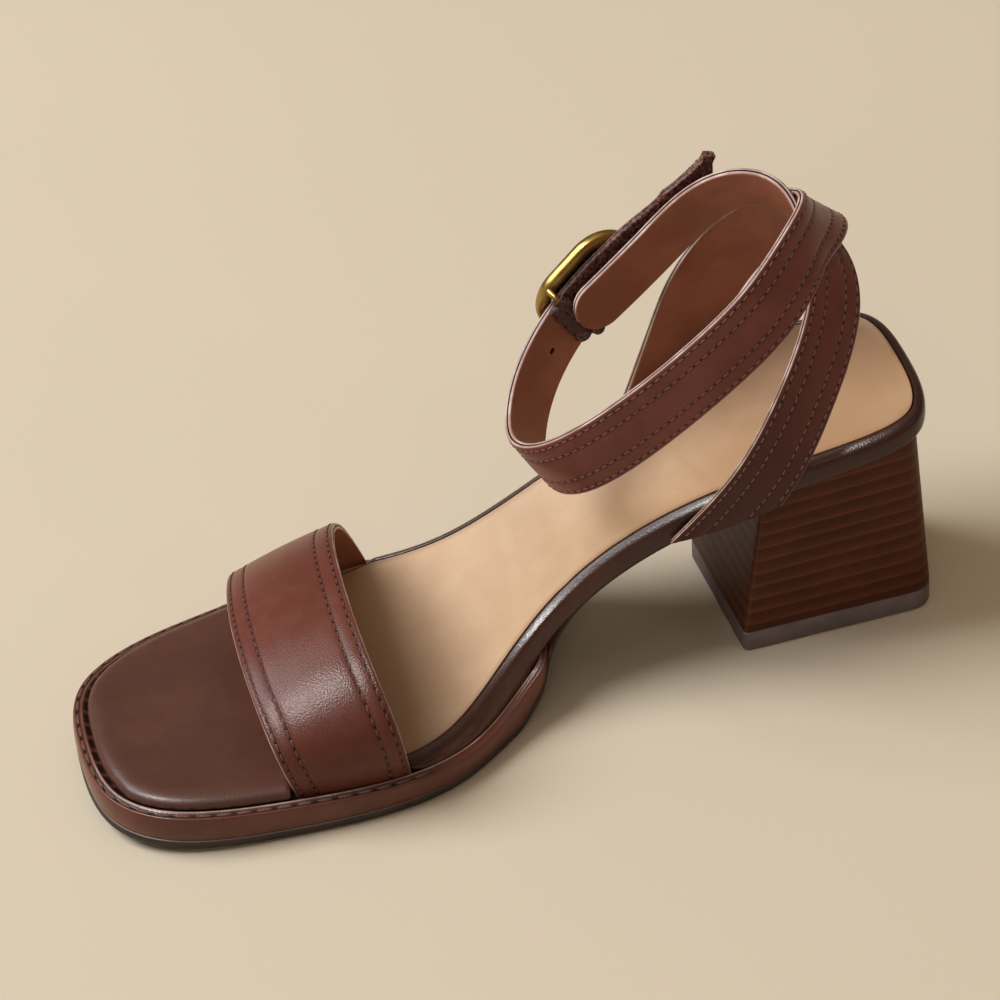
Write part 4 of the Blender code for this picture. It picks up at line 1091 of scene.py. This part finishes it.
class Strap:
    """One ankle strap: its curve, its length in millimetres and the half width along it."""

    def __init__(self, rows, end_length, end_shape, unsewn, aged_from=1.0):
        self.curve = path_spline(rows)
        self.dense = np.linspace(0.0, 1.0, STRAP_SAMPLES)
        self.arc = summed(gaps(self.curve(self.dense)[:, :3]))
        self.ends = 1.0 - end_length / self.arc[-1]
        self.end_shape = end_shape
        self.unsewn = unsewn
        self.aged_from = aged_from

    def at(self, length):
        return np.interp(length, self.arc, self.dense)

    def half(self, at, width):
        part = np.clip((at - self.ends) / (1.0 - self.ends), 0.0, 1.0)
        return np.maximum(width / 2.0 * self.end_shape(part), POINT_WIDTH / 2.0)

    def mesh(self):
        body = np.arange(0.0, self.arc[-1] * self.ends, STRAP_SPACING)
        tail = np.interp(self.ends, self.dense, self.arc)
        tail = tail + (self.arc[-1] - tail) * np.sin(np.linspace(0.0, np.pi / 2.0, STRAP_END_ROWS))
        length = np.concatenate([body[body < tail[0] - STRAP_END_CLEAR], tail])
        at = self.at(length)
        spots, out, run, width = strap_axes(self.curve, at)
        side, lift, edge, face = full_section(self.half(at, width))
        wide = np.cross(run, out)
        points = spots[:, None] + wide[:, None] * side[..., None] + out[:, None] * lift[..., None]
        aged = smooth(at, self.aged_from, self.aged_from + AGED_RUN) * (self.aged_from < 1.0)
        columns = side.shape[1]
        return self.trimmed(skin(points, edge=edge, face=face, run=spread(length, columns),
                                 aged=spread(aged, columns)))

    def trimmed(self, work):
        """Cut off at the footbed's underside, where the strap is tucked in."""
        centre = Vector((np.array([TRIM_AT, 0.0, trim_rise]) + SHIFT) * MM)
        bmesh.ops.bisect_plane(work, geom=work.verts[:] + work.edges[:] + work.faces[:], plane_co=centre,
                               plane_no=Vector((-trim_slope, 0.0, 1.0)), clear_inner=True)
        close_holes(work)
        return work

    def threads(self):
        """Centres, runs and outs of the stitches along both edges."""
        at = self.at(np.arange(STRAP_PITCH, self.arc[-1] - self.unsewn, STRAP_PITCH))
        spots, out, run, width = strap_axes(self.curve, at)
        wide = np.cross(run, out)
        half = self.half(at, width)
        scale = np.minimum(1.0, half / NARROW)
        places = []
        for inset, sign in STITCH_LINES:
            side = sign * (half - inset * scale)
            places.append((spots + wide * side[:, None] + out * STRAP_STITCH_LIFT, run, out))
        centres, runs, outs = (np.vstack(parts) for parts in zip(*places))
        above = centres[:, 2] > trim_rise + trim_slope * (centres[:, 0] - TRIM_AT) + STRAP_PITCH / 2.0
        return centres[above], runs[above], outs[above]


holed = Strap(HOLED_STRAP, POINT_LENGTH, point_end, POINT_UNSEWN, AGED_FROM)
plain = Strap(BUCKLE_STRAP, ROUND_END, round_end, ROUND_END_UNSEWN)
strap_leather = band_finish("strap_leather", STRAP_PITCH, STRAP_FOOT, STRAP_SHADOW, STRAP_NEEDLE,
                            (0.156, 0.0440, 0.0340), (0.204, 0.0630, 0.0500), (0.170, 0.062, 0.046))
holed_strap = finish_piece("holed_strap", holed.mesh(), strap_leather, "leather_brown", "ankle_straps")
finish_piece("buckle_strap", plain.mesh(), strap_leather, "leather_brown", "ankle_straps")
strap_thread = thread_finish("strap_thread", (0.150, 0.056, 0.041), (0.430, 0.215, 0.160), 900.0)
stitches("holed_strap_stitches", *holed.threads(), STITCH_SIZE, strap_thread)
stitches("buckle_strap_stitches", *plain.threads(), STITCH_SIZE, strap_thread)


def column_matrix(*columns):
    """Matrix with the given axes and place as its columns."""
    made = Matrix.Identity(4)
    for index, column in enumerate(columns):
        made.col[index].xyz = column
    return made


def hole_finish():
    mix = Finish("punched_wall", Specular_IOR_Level=0.2)
    fibre = mix.noise(1800.0)
    colour = mix.tint(fibre, (0.006, 0.003, 0.002), (0.030, 0.012, 0.009))
    return mix.shade(colour, mix.gain(fibre, 0.2, 0.6))


def punch_holes(strap):
    """Three oval holes for the prong, punched clean through the strap."""
    bar = np.interp(BUCKLE_AT, holed.dense, holed.arc) + BAR_AT
    holes = []
    work = bmesh.new()
    for step, long, wide in HOLES:
        spot, out, run, _ = strap_axes(holed.curve, holed.at(np.array(bar + step)))
        holes.append((spot, out))
        axes = (run * long, np.cross(run, out) * wide, out * PUNCH_REACH, spot + SHIFT)
        bmesh.ops.create_cone(work, cap_ends=True, segments=PUNCH_SIDES, radius1=1.0, radius2=1.0, depth=2.0,
                              matrix=column_matrix(*(axis * MM for axis in axes)))
    bmesh.ops.recalc_face_normals(work, faces=work.faces)
    mesh = bpy.data.meshes.new("punch")
    work.to_mesh(mesh)
    work.free()
    mesh.materials.append(hole_finish())
    punch = bpy.data.objects.new("punch", mesh)
    bpy.context.scene.collection.objects.link(punch)
    cut = strap.modifiers.new("holes", "BOOLEAN")
    cut.operation, cut.solver, cut.object = "DIFFERENCE", "EXACT", punch
    cut.material_mode = "TRANSFER"
    shown = strap.evaluated_get(bpy.context.evaluated_depsgraph_get())
    made = bpy.data.meshes.new_from_object(shown)
    strap.modifiers.clear()
    strap.data = made
    for index in {corner for side in made.polygons if side.material_index for corner in side.vertices}:
        place = np.array(made.vertices[index].co) / MM - SHIFT
        spot, out = min(holes, key=lambda hole: np.linalg.norm(place - hole[0]))
        made.attributes["face"].data[index].value = math.copysign(1.0, (place - spot) @ out)
        made.attributes["edge"].data[index].value = SECTION[0, 0]
    bpy.data.objects.remove(punch, do_unlink=True)


punch_holes(holed_strap)

join_spot, join_out, join_run, _ = strap_axes(holed.curve, np.array(JOIN_AT))
join_wide = 2.0 * JOIN_HALF * MM
join_place = column_matrix(join_run * join_wide, np.cross(join_run, join_out) * join_wide,
                           join_out * JOIN_DEPTH * MM, (join_spot - join_out * JOIN_DEPTH / 2.0 + SHIFT) * MM)
join_mesh = bmesh.new()
bmesh.ops.create_cube(join_mesh, size=1.0, matrix=join_place)
bmesh.ops.bevel(join_mesh, geom=join_mesh.edges[:], offset=JOIN_BEVEL * MM, affect="EDGES", segments=2,
                profile=0.5, material=-1)
finish_piece("strap_join", join_mesh, strap_leather, "leather_brown", "ankle_straps")

# Buckle: a rounded frame cast in antique gold metal with a bar bent down behind the holed strap.
# Its short prong turns on the bar and comes out through a hole of the strap onto the front rail.
BUCKLE_LIFT = 2.05
BUCKLE_LONG = 29.5
BUCKLE_WIDE = 23.4
BUCKLE_CORNER = 9.6
RAIL_SIZE = (2.1, 1.7)
RAIL_SQUARE = 0.72
RAIL_TURNS = 14
RAIL_SIDES = 20
BAR_DROP = 4.85
BAR_SIZE = (0.95, 0.95)
BAR_BEND = 2.4
BAR_CORNER = 0.7
KNUCKLE = (0.6, 9.3, 0.6)
KNUCKLE_RADIUS = 1.25
PRONG = [
    # along the buckle, outward from the frame's middle plane, radius
    (-7.4, -2.7, 0.85), (-8.1, 0.2, 0.95), (-10.4, 2.2, 0.95), (-14.7, 2.9, 0.9), (-17.2, 2.6, 0.7),
]
PRONG_SQUARE = 0.8
PRONG_STEPS = 28


def gilt_finish():
    mix = Finish("antique_gilt", Metallic=1.0)
    cloud = mix.ramp(mix.noise(160.0, 4.0), 0.3, 0.72)
    colour = mix.tint(cloud, (0.30, 0.185, 0.050), (0.46, 0.315, 0.105))
    colour = mix.tint(mix.ramp(mix.noise(900.0), 0.62, 0.76, 0.0, 0.6), colour, (0.13, 0.075, 0.025))
    return mix.shade(colour, mix.gain(cloud, 0.10, 0.28), mix.noise(500.0), 0.08, 0.0002)


buckle_spot, buckle_out, buckle_run, _ = strap_axes(holed.curve, np.array(BUCKLE_AT))
buckle_side = np.cross(buckle_run, buckle_out)
buckle_middle = buckle_spot + buckle_out * BUCKLE_LIFT


def in_buckle(along, side, out):
    """Points of the buckle; along runs from its front end to the strap's tip."""
    parts = np.stack(np.broadcast_arrays(along, side, out), axis=-1).astype(float)
    return buckle_middle + parts @ np.array([buckle_run, buckle_side, buckle_out])


def bar_skin(path, sides, outs, size, power=1.0):
    """Bar swept along a path; a power below one squares its section off."""
    angle = np.linspace(0.0, 2.0 * np.pi, RAIL_SIDES + 1)
    turns = [np.sign(turn) * np.abs(turn) ** power for turn in (np.cos(angle), np.sin(angle))]
    size = np.broadcast_to(size, (len(path), 2))
    points = path[:, None]
    for axis, turn, radius in zip((sides, outs), turns, size.T):
        points = points + np.broadcast_to(axis, path.shape)[:, None] * turn[:, None] * radius[:, None, None]
    return skin(points)


def swept_outs(path, side):
    step = np.vstack([path[1:], path[-1:]]) - np.vstack([path[:1], path[:-1]])
    return unit(np.cross(side, step))


gilt = gilt_finish()
rail_angles = np.radians(np.concatenate([np.linspace(first, first + 90.0, RAIL_TURNS)
                                         for first in (0, 90, 180, 270)]))
rail_signs = np.repeat([(1, 1), (-1, 1), (-1, -1), (1, -1)], RAIL_TURNS, axis=0)
rail_turn = np.column_stack([np.cos(rail_angles), np.sin(rail_angles)])
rail_reach = np.array([BUCKLE_LONG, BUCKLE_WIDE]) / 2.0 - BUCKLE_CORNER
rail_plan = rail_signs * rail_reach + BUCKLE_CORNER * rail_turn
rail_plan, rail_turn = (np.vstack([part, part[:1]]) for part in (rail_plan, rail_turn))
rail_path = in_buckle(rail_plan[:, 0], rail_plan[:, 1], 0.0)
rail_sides = rail_turn @ np.array([buckle_run, buckle_side])
finish_piece("buckle_rail", bar_skin(rail_path, rail_sides, buckle_out, RAIL_SIZE, RAIL_SQUARE), gilt,
             "buckle_gilt", "buckle_frame")

bar_reach = BUCKLE_WIDE / 2.0
bar_line = [
    (bar_reach, 0.0), (bar_reach, BAR_BEND - BAR_DROP),
    (bar_reach - BAR_CORNER, BAR_CORNER - BAR_DROP), (bar_reach - BAR_BEND, -BAR_DROP),
]
bar_line = np.array(bar_line + [(-side, out) for side, out in reversed(bar_line)])
bar_path = in_buckle(BAR_AT, bar_line[:, 0], bar_line[:, 1])
bar_mesh = bar_skin(bar_path, buckle_run, swept_outs(bar_path, buckle_run), BAR_SIZE)
bmesh.ops.create_uvsphere(bar_mesh, u_segments=20, v_segments=12, radius=KNUCKLE_RADIUS * MM,
                          matrix=Matrix.Translation((in_buckle(*KNUCKLE) + SHIFT) * MM))
finish_piece("buckle_bar", bar_mesh, gilt, "buckle_gilt", "buckle_frame")

prong_rows = row_spline(PRONG)(between_rows(PRONG, PRONG_STEPS))
prong_path = in_buckle(prong_rows[:, 0], 0.0, prong_rows[:, 1])
prong_mesh = bar_skin(prong_path, buckle_side, swept_outs(prong_path, buckle_side), prong_rows[:, 2:],
                      PRONG_SQUARE)
finish_piece("buckle_pin", prong_mesh, gilt, "buckle_gilt", "buckle_prong")

# Fold at the buckle: crumpled dark leather that fills the frame over the holed strap, with a roll of
# it ahead of the buckle strap's end and one round the bar. The photograph shows little but its edge.
FOLD_HALF = 10.4
FOLD_ROUND = 0.84
FOLD_THICK = 1.5
FOLD_CRUMPLE = 0.14
FOLD_CELLS = (40, 32)
ROLL_HALF = 9.0
ROLL_SIZE = (2.3, 1.2)
ROLL_ROUND_END = 1.2
ROLL_AHEAD = 1.6
ROLL_OUT = 2.3
ROLL_STEPS = 48
SLEEVE_SIZE = (2.0, 1.5)
SLEEVE_END = 5.2
# Waves along a roll: share of its size, radians a millimetre, start
ROLL_WAVES = [(0.08, 1.3, 0.0), (0.05, 3.1, 1.0)]
SLEEVE_WAVES = [(0.10, 1.7, 0.0), (0.06, 4.3, 0.0)]


def fold_finish():
    mix = Finish("crumpled_leather", Specular_IOR_Level=0.35)
    crumple = mix.cells(1400.0)
    worn = mix.ramp(mix.noise(1100.0, 4.0, 0.7), 0.52, 0.68)
    colour = mix.tint(crumple, (0.024, 0.0075, 0.006), (0.080, 0.0255, 0.020))
    colour = mix.tint(mix.times(worn, 0.7), colour, (0.300, 0.150, 0.125))
    return mix.shade(colour, mix.gain(crumple, 0.2, 0.45), mix.calc("ADD", crumple, worn), 0.35, 0.0003)


def uneven(at, waves):
    """Factor that swells and narrows a roll along its length."""
    return 1.0 + sum(share * np.sin(rate * at + start) for share, rate, start in waves)


crumpled = fold_finish()
fold_mesh = bmesh.new()
bmesh.ops.create_grid(fold_mesh, x_segments=FOLD_CELLS[0], y_segments=FOLD_CELLS[1], size=0.5)
for vert in fold_mesh.verts:
    along, side = (2.0 * FOLD_HALF * one * math.sqrt(1.0 - FOLD_ROUND * other ** 2)
                   for one, other in (vert.co.xy, vert.co.yx))
    wave = math.sin(1.1 * along + 1.7 * math.sin(0.6 * side)) + math.sin(1.9 * side)
    vert.co = Vector((in_buckle(along, side, FOLD_CRUMPLE * wave) + SHIFT) * MM)
bmesh.ops.recalc_face_normals(fold_mesh, faces=fold_mesh.faces)
bmesh.ops.solidify(fold_mesh, geom=fold_mesh.faces[:], thickness=FOLD_THICK * MM)
bmesh.ops.recalc_face_normals(fold_mesh, faces=fold_mesh.faces)
finish_piece("buckle_fold", fold_mesh, crumpled, "leather_brown")

roll_spot, roll_out, roll_run, _ = strap_axes(plain.curve, np.array(1.0))
roll_sides = np.linspace(-ROLL_HALF, ROLL_HALF, ROLL_STEPS + 1)
roll_wave = uneven(roll_sides, ROLL_WAVES)
roll_path = (roll_spot + roll_run * (ROLL_AHEAD * roll_wave)[:, None] + roll_out * ROLL_OUT
             + np.cross(roll_run, roll_out) * roll_sides[:, None])
roll_ends = np.sqrt(np.clip((ROLL_HALF - np.abs(roll_sides)) / ROLL_ROUND_END, 0.02, 1.0))
roll_mesh = bar_skin(roll_path, roll_run, roll_out, (roll_wave * roll_ends)[:, None] * np.array(ROLL_SIZE))
finish_piece("strap_fold", roll_mesh, crumpled, "leather_brown")

sleeve_arc = summed(gaps(bar_path))
sleeve_at = np.linspace(SLEEVE_END, sleeve_arc[-1] - SLEEVE_END, ROLL_STEPS + 1)
sleeve_path = follow(sleeve_at, sleeve_arc, bar_path)
sleeve_mesh = bar_skin(sleeve_path, buckle_run, swept_outs(sleeve_path, buckle_run),
                       uneven(sleeve_at, SLEEVE_WAVES)[:, None] * np.array(SLEEVE_SIZE))
finish_piece("bar_fold", sleeve_mesh, crumpled, "leather_brown")

# Floor, light and camera: a plain pale beige floor under a large soft light from the toe side.
# A small light that acts on gloss alone draws the streak on the vamp strap.
# The camera keeps the photograph's angle to this shoe and frames the one shoe.
FLOOR_SIZE = 4.0
COOL, NEUTRAL, WARM = (0.90, 0.955, 1.0), (1.0, 0.97, 0.94), (1.0, 0.81, 0.59)
LIGHTS = [
    # name, place, aim, size, power, colour, whether it lights more than gloss
    ("key", (2.08, -0.75, 2.58), (0.0, 0.0, 0.04), 2.2, 131.0, COOL, True),
    ("fill", (0.66, 1.40, 1.30), (0.0, 0.0, 0.04), 0.32, 1.3, NEUTRAL, True),
    ("glint", (0.84, 0.62, 1.78), (0.06, 0.03, 0.04), 0.30, 62.0, NEUTRAL, False),
    ("rim_glint", (-1.36, 1.36, 1.05), (0.0, 0.0, 0.04), 0.22, 1.1, NEUTRAL, True),
    ("overhead", (-0.3, -0.5, 2.6), (0.0, 0.0, 0.0), 3.0, 9.0, WARM, True),
]
ROOM_LIGHT = 0.20
CAMERA_PLACE = (0.328991, 1.121402, 1.024017)
CAMERA_RIGHT = (-0.935155, 0.354238, 0.0)
CAMERA_UP = (-0.229196, -0.605057, 0.762480)
CAMERA_BACK = (0.270100, 0.713037, 0.647012)
CAMERA_LENS = 200.0
CAMERA_SENSOR = 36.0
CAMERA_REACH = 100.0
CAMERA_SHIFT = (-0.3232, 0.0688)


def floor_finish():
    mix = Finish("pale_floor", Specular_IOR_Level=0.15)
    cloud = mix.ramp(mix.noise(3.0, 2.0), 0.2, 0.8)
    colour = mix.tint(cloud, (0.655, 0.553, 0.417), (0.675, 0.568, 0.428))
    return mix.shade(colour, mix.gain(cloud, 0.1, 0.75))


floor_mesh = bmesh.new()
bmesh.ops.create_grid(floor_mesh, x_segments=4, y_segments=4, size=FLOOR_SIZE)
floor_data = bpy.data.meshes.new("floor")
floor_mesh.to_mesh(floor_data)
floor_mesh.free()
floor_data.materials.append(floor_finish())
floor = bpy.data.objects.new("floor", floor_data)
bpy.context.scene.collection.objects.link(floor)

for name, place, aim, size, power, colour, on_all in LIGHTS:
    lamp = bpy.data.lights.new(name, "AREA")
    lamp.shape, lamp.size, lamp.energy, lamp.color = "DISK", size, power, colour
    light = bpy.data.objects.new(name, lamp)
    light.location = place
    light.rotation_mode = "QUATERNION"
    light.rotation_quaternion = (Vector(aim) - Vector(place)).to_track_quat("-Z", "Y")
    light.visible_diffuse = on_all
    bpy.context.scene.collection.objects.link(light)
world = bpy.data.worlds.new("studio")
world.use_nodes = True
world.node_tree.nodes["Background"].inputs["Color"].default_value = (*WARM, 1.0)
world.node_tree.nodes["Background"].inputs["Strength"].default_value = ROOM_LIGHT
bpy.context.scene.world = world
bpy.context.scene.view_settings.view_transform = "Standard"

camera_data = bpy.data.cameras.new("camera")
camera_data.sensor_width = CAMERA_SENSOR
camera_data.lens = CAMERA_LENS
camera_data.shift_x, camera_data.shift_y = CAMERA_SHIFT
camera_data.clip_end = CAMERA_REACH
camera = bpy.data.objects.new("camera", camera_data)
camera.matrix_world = column_matrix(CAMERA_RIGHT, CAMERA_UP, CAMERA_BACK, CAMERA_PLACE)
bpy.context.scene.collection.objects.link(camera)
bpy.context.scene.camera = camera
